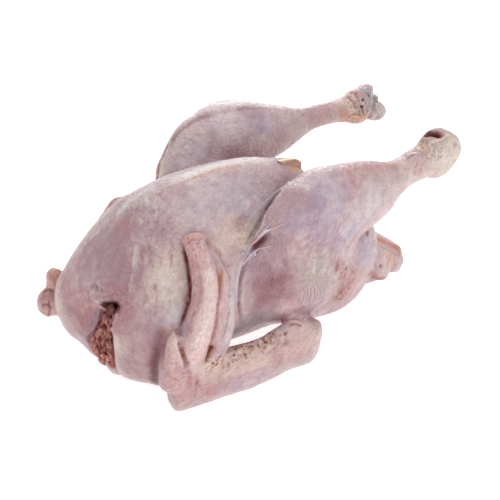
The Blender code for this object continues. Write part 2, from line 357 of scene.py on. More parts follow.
def refined(target, middles):
    """The same skin with each square near a middle cut into four."""
    bm = bmesh.new()
    bm.from_mesh(target.mesh)
    chosen = np.zeros(len(target.points), dtype=bool)
    for middle, radius in middles:
        chosen |= np.linalg.norm(target.points - middle, axis=1) < radius
    bm.verts.ensure_lookup_table()
    edges = [edge for edge in bm.edges if chosen[edge.verts[0].index] and chosen[edge.verts[1].index]]
    bmesh.ops.subdivide_edges(bm, edges=edges, cuts=1, use_grid_fill=True)
    bmesh.ops.triangulate(bm, faces=[face for face in bm.faces if len(face.verts) > 4])
    bm.to_mesh(target.mesh)
    bm.free()
    return Sheet(target.mesh)


middles = [(spot(x, y), radius * MM) for x, y, radius in WING_CLOSE_UPS + LEG_CLOSE_UPS + OTHER_CLOSE_UPS]
middles += [(far_wing(spot(x, y))[0], radius * MM) for x, y, radius in WING_CLOSE_UPS]
middles += [(far_leg(spot(x, y))[0], radius * MM) for x, y, radius in LEG_CLOSE_UPS]
skin = refined(skin, middles)
skin.relax(4)
skin.store()
form = tree_of(skin)
skin = refined(skin, [(spot(x, y), radius * MM) for x, y, radius in FINEST])
skin.relax(3)
skin.store()
form = tree_of(skin)
normals = skin.normals()
count = len(skin.points)
triangles = sum(len(face.vertices) - 2 for face in turkey.data.polygons)
print("refined skin:", count, "points,", triangles, "triangles")

# %% [markdown]
# ## Tools for folds
# Two weights do all the work that follows: a band along a path, on both sides of it or on one, and
# a patch with a wandering edge. A weight times a height lifts or sinks the skin, and the same weight
# mixes in a tint, so a crease and its colour can't drift apart. Three tools use them: fold for a line,
# crinkle for slack skin and blot for a spot. Each takes marks of the picture.

# %% Bands and patches
BOTH, LEFT, RIGHT = 0, -1, 1          # which side of a path that runs down the picture
CREASE_LENGTH = 3.0                   # how many times as long as their spacing the slack creases are
CREASE_REACH = 0.25                   # how wide a crease is, as a share of the noise's swing
FADED_OUT = 2.6                       # the widths at which a band has faded out
wander = skin.grain(9 * MM, 3)


def beside(path, reach):
    """Points within reach of a path: their index, distance, signed side and share of the way."""
    low, high = path.min(axis=0) - reach, path.max(axis=0) + reach
    index = np.nonzero(((skin.points > low) & (skin.points < high)).all(axis=1))[0]
    tree = kdtree.KDTree(len(path))
    for k, place in enumerate(path):
        tree.insert(Vector(place), k)
    tree.balance()
    found = [tree.find(Vector(skin.points[i])) for i in index]
    nearest = np.array([hit[1] for hit in found], dtype=int)
    distance = np.array([hit[2] for hit in found])
    keep = distance < reach
    index, nearest, distance = index[keep], nearest[keep], distance[keep]
    ahead = path[np.minimum(nearest + 1, len(path) - 1)] - path[np.maximum(nearest - 1, 0)]
    leftwards = np.cross(normals[index], ahead)
    side = np.sign((leftwards * (skin.points[index] - path[nearest])).sum(axis=1))
    return index, distance, side, nearest / max(len(path) - 1, 1)


def band(path, width, taper=0.15, side=BOTH):
    """Weight of a band along a path that thins out at both ends, on one side of it or on both."""
    weight = np.zeros(count)
    index, distance, sides, share = beside(path, FADED_OUT * width)
    ends = np.clip(np.minimum(share, 1 - share) / taper, 0, 1) if taper else 1.0
    profile = np.exp(-(distance / width) ** 2) * ends
    if side:
        profile = np.where(sides == side, profile, 0.0)
    weight[index] = profile
    return weight


def patch(path, radius, edge=0.6, wavy=0.35):
    """Weight 1 within radius of a path or spot, falling to 0 over a soft, wandering edge."""
    weight = np.zeros(count)
    path = np.atleast_2d(path)
    index, distance, _, _ = beside(path, radius * (1 + edge) * (1 + wavy) + MM)
    share = distance / radius + wavy * wander[index]
    fall = np.clip((1 + edge - share) / (2 * edge), 0, 1)
    weight[index] = fall * fall * (3 - 2 * fall)
    return weight


def placed(where):
    """Picture marks as a path on the skin, one mark as a place on it. Metres stay as they are."""
    if isinstance(where, np.ndarray):
        return where
    return spot(*where) if np.isscalar(where[0]) else trace(*where)


def fold(where, lift, width, tint=None, amount=0.5, side=BOTH, taper=0.15, spread=1.0, far=None):
    """Lifts (or sinks) a band by millimetres and tints it, and may do the same on the far side."""
    path = placed(where)
    for line, on_side in ((path, side),) if far is None else ((path, side), (far(path), -side)):
        if lift:
            skin.lift(lift * MM * band(line, width * MM, taper, on_side) * (1 + 0.5 * wander))
        if tint is not None:
            skin.wash(tint, amount * band(line, spread * width * MM, taper, on_side) * (1 + 0.8 * wander))


def crinkle(where, radius, size, along, depth, tint, amount=0.4, far=None):
    """Slack skin: uneven creases of a size in mm, along a direction, where a noise changes sign."""
    path = placed(where)
    for line, way in ((path, along),) if far is None else ((path, along), (far(path), along * (1, -1, 1))):
        way = way / np.linalg.norm(way)
        weight = patch(line, radius * MM)
        crease = np.zeros(count)
        for i in np.nonzero(weight)[0]:
            place = skin.points[i]
            place = (place - way * (place @ way) * (1 - 1 / CREASE_LENGTH)) / (size * MM)
            crease[i] = max(1 - abs(noise.fractal(Vector(place), 1.0, 2.0, 2)) / CREASE_REACH, 0)
        skin.lift(depth * MM * weight * (0.3 - crease))
        skin.wash(tint, amount * weight * crease)


def blot(where, radius, tint, amount, edge=0.6, lift=0.0, far=None):
    """Tints, and may lift, a patch round a spot or path, and may do the same on the far side."""
    place = placed(where)
    for middle in (place,) if far is None else (place, far(place)):
        weight = patch(middle, radius * MM, edge)
        skin.wash(tint, amount * weight)
        if lift:
            skin.lift(lift * MM * weight)


print("mean size of a refined square's side, mm:", round(float(np.mean(np.linalg.norm(
    skin.points[skin.ends[:, 0]] - skin.points[skin.ends[:, 1]], axis=1))) / MM, 2))

# %% [markdown]
# ## Tints of raw poultry
# Turkey skin is a thin, slightly see-through sheet. Over fat it looks cream, over breast meat
# mauve-pink, over thick dark meat lilac, and where it is bruised or thin it turns rose. Each
# tint is one named colour, mixed in by weight. A painted image would need the skin unwrapped. A
# colour stored at each point doesn't, and it stays with the fold that it belongs to.

# %% Colours and the ground tint


def linear(code):
    """A colour written as sRGB hex, as the linear values that Blender mixes."""
    channels = [int(code[i:i + 2], 16) / 255 for i in (1, 3, 5)]
    return np.array([c / 12.92 if c <= 0.04045 else ((c + 0.055) / 1.055) ** 2.4 for c in channels])


SKIN = linear("#bea3a7")
CREAM = linear("#d9c3b6")
FAT = linear("#e9dcd4")
MAUVE = linear("#a5818c")
LILAC = linear("#aa9cb4")
GREY = linear("#8d8086")
COOL = linear("#b9abb5")
WHITE_FAT_AND_HIGHLIGHT = linear("#e6dddd")
ROSE = linear("#b67a7c")
DARK_ROSE = linear("#86525a")
PALE_LILAC = linear("#c8b9c4")
SHADE = linear("#8b7482")
SHADE_UMBER = linear("#43231f")
PINK = linear("#d0a09a")
BLUSH_AND_PAINTED_LIGHT = linear("#e2bcc1")
SALMON = linear("#c98a78")
TAN = linear("#bd8c6e")
FLAP = linear("#c99f84")
OCHRE = linear("#bd8248")
RUST = linear("#93503f")
GREENISH = linear("#b0aca0")
MEAT = linear("#9e423c")
DARK_MEAT_AND_SHADE = linear("#4d1717")
GRISTLE = linear("#a19897")
BONE = linear("#cdbfac")

blotches = skin.grain(34 * MM, 2, 3.0)
streaks = skin.grain(9 * MM, 3, 7.0, upright=3.0)
specks = skin.grain(4 * MM, 3, 9.0)
skin.tint[:] = SKIN
skin.wash(MAUVE, np.clip(0.23 + 0.30 * blotches + 0.12 * streaks, 0, 0.5))
skin.wash(CREAM, np.clip(-0.10 - 0.30 * blotches + 0.18 * streaks, 0, 0.3))
skin.wash(ROSE, np.clip(0.6 * streaks - 0.25, 0, 0.22))
skin.wash(DARK_ROSE, np.clip(0.6 * specks - 0.30, 0, 0.14))
skin.wash(CREAM, np.clip(-0.6 * specks - 0.28, 0, 0.18))
print("ground tint laid on", count, "points")

# %% [markdown]
# ## Unevenness of the whole skin
# Fat lies in soft pads and the skin slides over it, so even the smooth breast isn't an exact curve.
# Two sizes of very low bumps, one of pads and one of small dimples, take the machined look away.
# They move the points themselves, so they also show along the outline, which a bump map can't do.

# %% Pads and dimples
PAD_HEIGHT, DIMPLE_HEIGHT = 0.8 * MM, 0.30 * MM
skin.lift(PAD_HEIGHT * skin.grain(26 * MM, 2, 11.0))
skin.lift(DIMPLE_HEIGHT * skin.grain(7 * MM, 2, 5.0))
print("pads and dimples lift the skin by up to, mm:", round(float(skin.height.max()) / MM, 2))

# %% [markdown]
# ## The breast
# The breast is two long muscles on each side of the keel. The skin is tight over them, with a painted
# highlight along the keel's ridge where the lamp behind catches it, a brownish line where the muscle
# starts below that ridge, creamy fat low on the side, a pale tendon that runs down the front, and fine
# wrinkles where the loose neck skin was drawn together.
# Spots and wrinkles are rows of a table, a place with its size, tint and strength, so that one loop
# lays them all and any of them is easy to find and change.

# %% Keel and tendon
KEEL_FROM, KEEL_TO = -0.165, 0.030                      # where the keel's ridge runs along the bird
ABOVE_KEEL = (-0.0018, 0.19)                            # across the bird and up, just over the ridge
keel = laid([(x, *ABOVE_KEEL) for x in np.arange(KEEL_FROM, KEEL_TO, STEP)])
# The white band along the ridge is a painted highlight, where the lamp behind catches the keel.
skin.wash(WHITE_FAT_AND_HIGHLIGHT, 0.75 * band(keel, 9 * MM, 0.15))
skin.lift(0.5 * MM * band(keel, 5 * MM, 0.15) * specks)
keel_line = trace((146, 200), (160, 193), (182, 182), (205, 174), (228, 167), (247, 164))
fold(keel_line, -0.4, 2.0, TAN, 0.9)
fold(keel_line, 0, 7.0, ROSE, 0.40, side=LEFT)

tendon = trace((137, 240), (134, 255), (132, 275), (129, 292), (127, 303))
fold(tendon, 0.4, 3.0, FAT, 0.28, far=far_breast)
fold(tendon, -0.5, 3.2, MAUVE, 0.3, side=LEFT, far=far_breast)
print("the keel's ridge is tinted along, mm:", round((KEEL_TO - KEEL_FROM) / MM))

# %% Breast tints
# The pale lilac and white spots near 176 to 180 across and 318 to 322 down, and near 250 to 257 across and
# 203 to 212 down, are painted light: they lighten the breast where the hand and the thigh's crease shade
# it.
BREAST_TINTS = [              # picture spot, radius in mm, tint, amount
    ((168, 285), 20, CREAM, 0.75), ((178, 262), 14, CREAM, 0.6), ((172, 280), 15, WHITE_FAT_AND_HIGHLIGHT, 0.25),
    ((176, 322), 12, PALE_LILAC, 0.9), ((172, 188), 17, MAUVE, 0.40), ((168, 338), 12, LILAC, 0.5),
    ((179, 320), 10, PALE_LILAC, 0.5), ((180, 318), 9, WHITE_FAT_AND_HIGHLIGHT, 0.4), ((121, 225), 9, ROSE, 0.65),
    ((112, 250), 22, MAUVE, 0.5), ((128, 272), 14, MAUVE, 0.55), ((78, 262), 22, MAUVE, 0.60),
    ((72, 270), 20, ROSE, 0.30), ((140, 215), 12, MAUVE, 0.4), ((250, 200), 28, COOL, 0.65),
    ((215, 192), 22, COOL, 0.40), ((240, 232), 15, CREAM, 0.75), ((218, 250), 10, CREAM, 0.7),
    ((254, 206), 10, WHITE_FAT_AND_HIGHLIGHT, 0.45), ((250, 212), 10, PALE_LILAC, 0.4),
    ((257, 203), 7, PALE_LILAC, 0.6), ((255, 204), 6, WHITE_FAT_AND_HIGHLIGHT, 0.5), ((160, 230), 8, MAUVE, 0.5),
    ((68, 300), 15, ROSE, 0.5), ((90, 318), 20, ROSE, 0.55), ((78, 322), 20, DARK_ROSE, 0.35),
    ((150, 345), 26, MAUVE, 0.5), ((130, 340), 20, ROSE, 0.3), ((135, 372), 18, DARK_ROSE, 0.45),
    ((118, 345), 9, CREAM, 0.3), ((192, 205), 16, COOL, 0.30), ((205, 220), 12, COOL, 0.35),
    ((95, 262), 14, MAUVE, 0.35),
]
for tinted in BREAST_TINTS:
    blot(*tinted, far=far_breast)
print("tints on the breast:", len(BREAST_TINTS))

# %% Breast wrinkles
BREAST_WRINKLES = [           # picture marks, width and depth in mm
    (((84, 303), (97, 297), (110, 297), (119, 302)), 1.4, 0.7),
    (((92, 294), (106, 291), (121, 296)), 1.3, 0.5), (((88, 310), (96, 306), (102, 306)), 1.3, 0.6),
    (((62, 296), (78, 291), (95, 288)), 1.6, 0.6), (((124, 300), (131, 306), (134, 318)), 1.5, 0.5),
    (((100, 285), (112, 284), (122, 288)), 1.2, 0.4), (((155, 219), (156, 226), (155, 232)), 1.0, 0.6),
    (((148, 240), (150, 256), (149, 270)), 1.5, 0.4), (((160, 238), (163, 252), (161, 268)), 1.5, 0.4),
    (((108, 298), (118, 290), (132, 288)), 1.2, 0.4), (((141, 246), (142, 262), (140, 280)), 1.3, 0.35),
    (((170, 240), (172, 255), (170, 272)), 1.4, 0.35), (((66, 278), (70, 290), (72, 304)), 1.4, 0.4),
    (((154, 282), (157, 296), (155, 310)), 1.5, 0.35), (((133, 218), (139, 220), (145, 222)), 1.1, -0.4),
    (((196, 232), (203, 226), (206, 218)), 1.2, -0.4),
]
for marks, width, depth in BREAST_WRINKLES:
    fold(marks, -0.8 * depth, width, ROSE if depth > 0 else CREAM, 0.38)

nick = trace((91, 287), (94, 286), (99, 289))
shoulder_mark = (104, 214)
slack_breast = trace((152, 215), (160, 250), (158, 290))
slack_neck = trace((88, 300), (104, 294), (124, 298))
shoulder_highlight = trace((120, 211), (134, 199), (149, 189))
downwards = spot(165, 300) - spot(170, 240)
over_slit = spot(124, 296) - spot(88, 300)
fold(nick, -1.0, 1.2, MEAT, 0.75)
blot(shoulder_mark, 5, ROSE, 0.6)
crinkle(slack_breast, 20, 2.4, downwards, 0.45, DARK_ROSE, 0.12, far=far_breast)
crinkle(slack_neck, 7, 3.2, over_slit, 0.45, DARK_ROSE, 0.3)
# A painted highlight along the breast's top left edge, where the lamp behind catches it.
blot(shoulder_highlight, 4.5, WHITE_FAT_AND_HIGHLIGHT, 0.45, edge=0.9)
print("wrinkles on the breast:", len(BREAST_WRINKLES))

# %% [markdown]
# ## The slit at the neck
# The neck was taken off through a slit at the front. Its sides are the rounded ends of the two
# breast muscles: the near one overhangs, so its edge is crisp, and the far one rolls in softly.
# A slit cut out of the mesh would have a hard rim. The skin is sunk between the two muscles instead,
# and the torn meat is laid into the hollow as a piece of its own.

# %% Slit
near_lobe_edge = trace((119, 305), (114, 316), (110, 333), (109, 348), (111, 364))
far_lobe_edge = trace((101, 309), (97, 326), (88, 336), (87, 344))
slit_floor = trace((110, 306), (106, 318), (101, 332), (97, 345), (101, 358))
slit_hole = trace((104, 307), (110, 306), (117, 307))
near_wall = trace((112, 335), (112, 350), (113, 364))
slit_blood = trace((108, 315), (105, 326), (101, 338), (99, 348), (102, 358))
far_wall_shade = trace((98, 311), (94, 322), (88, 334))
over_hole = trace((100, 303), (108, 300), (118, 302))
fold(near_lobe_edge, -4.5, 6.0, MEAT, 0.9, side=LEFT, taper=0.06, spread=0.8)
blot(near_wall, 4.5, MEAT, 0.9, edge=0.3)
fold(near_lobe_edge, 1.6, 4.5, ROSE, 0.30, side=RIGHT, taper=0.1)
fold(far_lobe_edge, -3.0, 5.0, MEAT, 0.25, side=RIGHT, taper=0.1)
fold(far_lobe_edge, 0.8, 4.0, ROSE, 0.35, side=LEFT)
blot(slit_blood, 6.5, MEAT, 0.9, edge=0.6)
fold(slit_floor, -1.5, 5.0, DARK_MEAT_AND_SHADE, 0.75, taper=0.05)
# The slit's hole is sunk, and the dark in it is painted shade.
fold(slit_hole, -8.0, 3.2, DARK_MEAT_AND_SHADE, 0.9, taper=0.05, spread=1.3)
blot(slit_hole, 4.2, DARK_MEAT_AND_SHADE, 0.9, edge=0.5)
# Painted shade in mauve on the far muscle's wall inside the slit.
blot(far_wall_shade, 4.5, MAUVE, 0.8, edge=0.8)
fold(over_hole, 0.3, 2.0)
print("slit sunk by up to, mm:", round(-float(skin.height.min()) / MM, 1))

# %% [markdown]
# ## The crease between breast and thigh
# The thigh's front edge stands out from the breast. Its rim is paler, a painted highlight where the
# lamp behind catches it, and the breast passes into a pocket behind it, whose shade and dark line at
# the thigh's edge are painted. Below, the skin stretched into a web when the leg was bent outwards,
# and thin strands run in it from the wing's root up to the thigh. A band on one side of its path only
# keeps the thigh's edge crisp. The far side, which is hidden, gets one plain crease with painted
# shade, and the same web.

# %% Crease
thigh_rim = trace((301, 173), (288, 183), (277, 197), (267, 211), (259, 228), (250, 243))
low_rim = trace((289, 182), (277, 197), (267, 211), (259, 228), (250, 243))
fold(low_rim, -1.8, 3.6, side=LEFT)
# A dark line of painted shade along the breast side of the thigh's edge.
fold(low_rim, -0.6, 1.6, SHADE_UMBER, 0.60, side=LEFT)
# Painted shade: the pocket behind the thigh is tinted grey mauve, and its deepest line dark umber.
crease_floor = trace((299, 171), (285, 181), (274, 194), (264, 208), (256, 225), (247, 240))
crease_line = trace((282, 187), (273, 197), (264, 210), (256, 225), (247, 240))
crease_foot = trace((256, 225), (250, 236), (245, 246))
skin.wash(SHADE, 0.75 * band(crease_floor, 4.0 * MM, 0.2))
skin.wash(MAUVE, 0.5 * band(low_rim, 4.0 * MM, side=RIGHT))
fold(crease_line, -0.6, 1.6, SHADE_UMBER, 0.60)
fold(crease_foot, -0.5, 1.6, SHADE_UMBER, 0.7)
# The thigh's pale rim is a painted highlight, where the lamp behind catches the edge, broken into specks.
rim_highlight_specks = np.clip(0.25 + 1.8 * specks, 0, 1)
skin.lift(1.0 * MM * band(thigh_rim, 3 * MM, side=RIGHT))
skin.wash(FAT, 0.6 * band(thigh_rim, 2.6 * MM, side=RIGHT) * rim_highlight_specks)
far_crease = far_breast(trace((277, 198), (267, 211), (259, 228), (250, 243), (243, 258)))
skin.lift(-3.0 * MM * band(far_crease, 4 * MM))
# Its dark rose is painted shade in the crease.
skin.wash(DARK_ROSE, 0.6 * band(far_crease, 3 * MM))
print("crease along the thigh, mm:", round(len(thigh_rim) * STEP / MM))

# %% Web
web_edge = trace((262, 222), (254, 235), (246, 248), (238, 262), (233, 280), (230, 300))
web_side = trace((252, 250), (245, 265), (239, 282), (236, 302))
skin.wash(CREAM, 0.5 * band(web_edge, 4 * MM, side=LEFT))
blot(web_side, 5, LILAC, 0.5, far=far_breast)
web_band = trace((234, 310), (235, 290), (240, 270), (248, 254), (258, 242), (269, 232))
fold(web_band, 0.5, 3.6, PALE_LILAC, 0.55, spread=1.3, far=far_breast)
web_hollow = trace((249, 254), (256, 245), (264, 238), (271, 233))
fold(web_hollow, -3.2, 3.4, DARK_ROSE, 0.9, taper=0.25, spread=1.1)
skin.wash(DARK_MEAT_AND_SHADE, 0.35 * band(web_hollow, 2.2 * MM, 0.3))
thigh_front = trace((248, 259), (243, 272), (240, 290), (240, 308), (243, 326))
# The dark rose line along the thigh's front is painted shade where the thigh meets the breast.
fold(thigh_front, -1.8, 2.2, DARK_ROSE, 0.6, far=far_breast)
fold(thigh_front, 1.0, 4.0, MAUVE, 0.3, side=RIGHT, far=far_breast)
print("web of stretched skin, mm long:", round(len(web_band) * STEP / MM))

# %% [markdown]
# ## The thigh and drumstick
# The leg is dark meat, so its skin looks lilac and mauve, with a greenish, thinner place over the
# knee. Large soft spots of tint come first, so that the graze and the wrinkles lie over them.

# %% Leg tints
# The pale lilac, pink and blush spots low on the thigh, from 242 to 290 across and 318 to 336 down, are
# painted light: they lighten the thigh's underside, which lies in shade over the forearm.
LEG_TINTS = [                 # picture spot, radius in mm, tint, amount
    ((315, 225), 24, LILAC, 0.40), ((330, 190), 22, LILAC, 0.45), ((300, 205), 13, MAUVE, 0.65),
    ((285, 262), 20, MAUVE, 0.6), ((272, 288), 20, DARK_ROSE, 0.72), ((262, 270), 10, MAUVE, 0.5),
    ((303, 250), 12, CREAM, 0.30), ((298, 238), 9, PINK, 0.25), ((318, 270), 15, GREENISH, 0.6),
    ((328, 285), 11, GREENISH, 0.45), ((330, 300), 12, GREENISH, 0.35), ((366, 252), 12, LILAC, 0.75),
    ((366, 254), 10, MAUVE, 0.25), ((345, 238), 12, LILAC, 0.4), ((262, 318), 15, PALE_LILAC, 0.6),
    ((300, 315), 14, COOL, 0.5), ((372, 205), 15, COOL, 0.60), ((372, 200), 12, WHITE_FAT_AND_HIGHLIGHT, 0.25),
    ((350, 180), 12, ROSE, 0.3), ((355, 225), 12, LILAC, 0.35), ((352, 290), 11, PINK, 0.45),
    ((362, 275), 9, PINK, 0.4), ((335, 310), 10, MAUVE, 0.5), ((300, 222), 10, LILAC, 0.5),
    ((278, 240), 8, GREY, 0.4), ((285, 310), 14, ROSE, 0.3), ((265, 332), 12, PALE_LILAC, 0.6),
    ((290, 325), 12, PALE_LILAC, 0.6), ((245, 336), 9, PINK, 0.5), ((263, 322), 16, BLUSH_AND_PAINTED_LIGHT, 0.8),
    ((290, 320), 14, BLUSH_AND_PAINTED_LIGHT, 0.7), ((242, 332), 10, BLUSH_AND_PAINTED_LIGHT, 0.7), ((300, 235), 26, MAUVE, 0.25),
]
for tinted in LEG_TINTS:
    blot(*tinted, far=far_leg)
print("tints on the legs:", len(LEG_TINTS))

# %% [markdown]
# ## The graze on the thigh
# The rubber fingers of a plucking machine took the skin's outer layer off in a streak, and it dried
# reddish brown in crumbs. A band along the streak is broken up by two sizes of noise, and a third
# noise sets which crumbs are raised and dark. The far leg gets a faint one.

# %% Graze
crumbs = skin.grain(2.8 * MM, 2, 15.0)
graze = trace((346, 256), (342, 266), (347, 278), (341, 290), (344, 303))
ragged = np.clip(0.75 + 1.6 * wander, 0, 1) * np.clip(0.8 + 1.2 * specks, 0, 1)
for line, share in ((graze, 1.0), (far_leg(graze), 0.35)):
    broken = share * band(line, 10.0 * MM) * ragged
    skin.wash(SALMON, 0.45 * broken)
    skin.wash(DARK_ROSE, 0.6 * broken)
    skin.wash(RUST, broken * np.clip(3.0 * crumbs - 0.1, 0, 0.9))
    skin.wash(MEAT, broken * np.clip(4.0 * crumbs - 0.9, 0, 1))
    skin.wash(CREAM, broken * np.clip(-2.5 * crumbs - 0.4, 0, 0.5))
    skin.lift(0.9 * MM * broken * crumbs)
print("graze, mm long:", round(len(graze) * STEP / MM))

# %% [markdown]
# ## Creases, fat and edges of the legs
# A few creases run where the thigh folds against the body. A light band on top of the near thigh is
# partly fat and partly painted highlight, and the far leg's light band is a painted highlight, both
# where the lamp behind catches them; the far leg's inner side lies in the shade of its own bulge.

# %% Creases and fat of the legs
LEG_FOLDS = [                 # picture marks, width and depth in mm
    (((283, 258), (286, 264), (289, 271)), 1.2, 0.8), (((335, 226), (341, 236), (350, 250)), 1.0, 0.5),
    (((338, 250), (337, 262), (336, 274)), 1.2, 0.3), (((268, 262), (272, 276), (271, 290)), 1.2, 0.2),
]
for marks, width, depth in LEG_FOLDS:
    fold(marks, -depth, width, DARK_ROSE, 0.55, far=far_leg)
pale_ridge = trace((337, 225), (343, 235), (352, 249))
slack_thigh = trace((312, 245), (322, 275), (318, 300))
fold(pale_ridge, 0.4, 1.0, CREAM, 0.5, far=far_leg)
crinkle(slack_thigh, 19, 2.3, downwards, 0.4, DARK_ROSE, 0.25, far=far_leg)

shank_top = trace((345, 170), (365, 167), (385, 165), (400, 163))
fold(shank_top, 0, 4.5, ROSE, 0.65)
blot(shank_top, 8, ROSE, 0.35)
top_fat_and_glints = trace((288, 183), (300, 186), (312, 188))
# Partly fat, partly painted glints of light on top of the thigh.
skin.wash(FAT, 0.4 * band(top_fat_and_glints, 3.0 * MM) * np.clip(0.3 + 2.5 * specks, 0, 1))

far_leg_highlight = trace((170, 136), (185, 119), (208, 107), (240, 103), (280, 107))
far_leg_edge = trace((167, 150), (175, 136), (187, 125), (205, 116), (225, 111), (250, 108), (285, 110))
# A painted highlight along the far leg's top edge, where the lamp behind catches it.
blot(far_leg_highlight, 4.5, WHITE_FAT_AND_HIGHLIGHT, 0.55)
fold(far_leg_edge, -0.3, 2.6, DARK_ROSE, 0.6)
FAR_LEG_TINTS = [             # picture marks, radius in mm, tint, amount
    ((320, 111), 16, ROSE, 0.6), (((300, 108), (335, 106)), 9, MAUVE, 0.5),
    ((228, 125), 18, PALE_LILAC, 0.6), ((262, 122), 12, LILAC, 0.6), ((253, 112), 12, MAUVE, 0.5),
]
for tinted in FAR_LEG_TINTS:
    blot(*tinted)
far_haunch_line = trace((160, 157), (172, 157), (184, 155))
fold(far_haunch_line, -0.5, 1.2, PINK, 0.6)
print("creases on each leg:", len(LEG_FOLDS), "tints on the far one:", len(FAR_LEG_TINTS))

# %% [markdown]
# ## Wrinkles over the knee
# Where the knee was bent and straightened, the skin lies in fine, even rows like ripples round a
# stone. Drawn one by one they would take dozens of paths, so they are a sine of the distance from
# a centre, made uneven by the streaks.

# %% Knee wrinkles
WRINKLE_SPACING = 3.0 * MM    # the real ones are about 2 mm apart, drawn coarser so that they show
WRINKLE_HEIGHT = 0.26 * MM
rows, centre_of_rows = spot(311, 294), spot(270, 294)
for middle, centre, mirror in ((rows, centre_of_rows, 1),
                               (far_leg(rows)[0], far_leg(centre_of_rows)[0], -1)):
    across_leg, up_leg = np.array(SIDE) * (1, mirror, 1), np.array(RISE) * (1, mirror, 1)
    from_centre = skin.points - centre
    out = np.hypot(from_centre @ across_leg, from_centre @ up_leg) + 1.2 * MM * streaks
    waves = np.sin(2 * math.pi * out / WRINKLE_SPACING)
    weight = patch(middle, 12 * MM, 0.8)
    skin.lift(WRINKLE_HEIGHT * weight * waves)
    skin.wash(DARK_ROSE, 0.4 * weight * np.clip(-waves, 0, 1))
print("knee wrinkles", WRINKLE_SPACING / MM, "mm apart")

# %% [markdown]
# ## The hand of the wing
# The outermost wing joint is a flat paddle: two thin bones with a groove between them, skin in
# strips over each, and the quills' sockets along its edge. Its tip was cut off straight. The three
# tools get a wing_ form here, which lays each stroke on the far wing too.

# %% Strips of the hand
wing_fold, wing_blot, wing_crinkle = (partial(tool, far=far_wing) for tool in (fold, blot, crinkle))
hand = trace((193, 248), (200, 262), (208, 285), (210, 310), (205, 335), (196, 355))
wing_blot(hand, 11, CREAM, 0.75, edge=0.4)
wing_blot(hand, 11, BLUSH_AND_PAINTED_LIGHT, 0.50, edge=0.4)

left_rim = trace((185, 240), (191, 258), (194, 275), (195, 292), (191, 310), (184, 330))
shade_behind_hand = trace((181, 241), (186, 258), (189, 276), (190, 293), (185, 312), (178, 332))
mauve_strip = trace((192, 256), (198, 270), (201, 288), (198, 306), (191, 322), (187, 340))
pale_strip = trace((203, 256), (210, 275), (212, 296), (208, 318), (201, 338), (196, 354))
right_gap = trace((215, 262), (219, 275), (220, 290), (218, 305), (216, 325), (211, 345), (208, 356))
right_rim = trace((224, 272), (225, 290), (224, 308), (221, 328), (215, 345))
right_edge = trace((229, 274), (230, 290), (229, 308), (226, 328), (219, 348))
between_strips = trace((199, 280), (199, 300))
# Painted shade: a dark red line beside the hand's left edge, where the hand shades the breast, on both
# wings.
wing_fold(shade_behind_hand, -1.4, 1.7, MEAT, 0.85)
skin.wash(DARK_MEAT_AND_SHADE, 0.75 * band(shade_behind_hand, 1.3 * MM))
wing_fold(left_rim, 1.2, 2.2, ROSE, 0.75)
wing_fold(mauve_strip, -0.7, 2.2, ROSE, 0.45, spread=1.3)
wing_blot(between_strips, 3.5, MAUVE, 0.5)
wing_fold(pale_strip, 0.0, 5.0, FAT, 0.50)
wing_fold(right_gap, -1.2, 1.5, RUST, 0.65)
wing_fold(right_rim, 0.5, 2.6, PINK, 0.45)
wing_fold(right_edge, 0, 4.5, PALE_LILAC, 0.55, side=RIGHT)
wing_fold(right_edge, -1.0, 1.5, ROSE, 0.2, side=RIGHT, taper=0.1)
along_hand = spot(205, 335) - spot(212, 285)
wing_crinkle(hand, 12, 4.0, along_hand, 0.3, ROSE, 0.22)
ochre_spot = trace((222, 266), (221, 279), (219, 294))
wing_fold(ochre_spot, -0.8, 2.4, TAN, 0.85, taper=0.3, spread=1.3)
wing_fold(ochre_spot, 0, 1.4, RUST, 0.6, taper=0.3)
print("hand, mm long:", round(len(hand) * STEP / MM))

# %% Cut tip and palm
cut_tip = trace((185, 239), (192, 236), (200, 235), (205, 238))
reddened = trace((188, 243), (195, 250), (199, 262))
tip_crease = trace((186, 243), (194, 240), (203, 240))
slack_tip = trace((189, 240), (199, 243))
across_tip = spot(200, 236) - spot(186, 240)
wing_blot(reddened, 8, ROSE, 0.40, edge=0.5)
wing_fold(cut_tip, 0.6, 3.5, SALMON, 0.55, taper=0.05)
wing_fold(tip_crease, -0.3, 1.2, RUST, 0.3, taper=0.1)
wing_crinkle(slack_tip, 6, 2.6, across_tip, 0.3, RUST, 0.35)
HAND_SPECKS = [               # picture spot, radius in mm
    ((189, 243), 1.0), ((197, 244), 0.8), ((193, 250), 0.9), ((196, 256), 0.8), ((205, 251), 0.9),
    ((203, 262), 0.8), ((211, 263), 0.8), ((200, 247), 0.6), ((207, 244), 0.6), ((190, 256), 0.6),
    ((221, 256), 0.8), ((229, 266), 0.7),
]
for mark, radius in HAND_SPECKS:
    wing_blot(mark, radius, RUST, 0.55, 0.8, lift=-0.4)

palm_hole = trace((212, 348), (209, 355), (207, 361))
wing_blot(palm_hole, 3.6, OCHRE, 0.6, edge=0.9, lift=-0.6)
wing_blot(palm_hole, 2.2, RUST, 0.8, edge=0.9)
wing_blot(palm_hole, 1.2, DARK_MEAT_AND_SHADE, 0.8, edge=0.8, lift=-1.8)
print("specks on the hand:", len(HAND_SPECKS))

# %% [markdown]
# ## Thumb, wrist and forearm
# The small thumb stands free in front of the hand. Along the forearm's upper edge the big quills
# were pulled, and each left a socket: a small dark pit with a crusty, raised rim. The crust is one
# noise read at several levels: pale fat where it is low, rust where it is high, and dark, sunk pits
# where it is highest. The large sockets are then pressed in where the picture shows them.

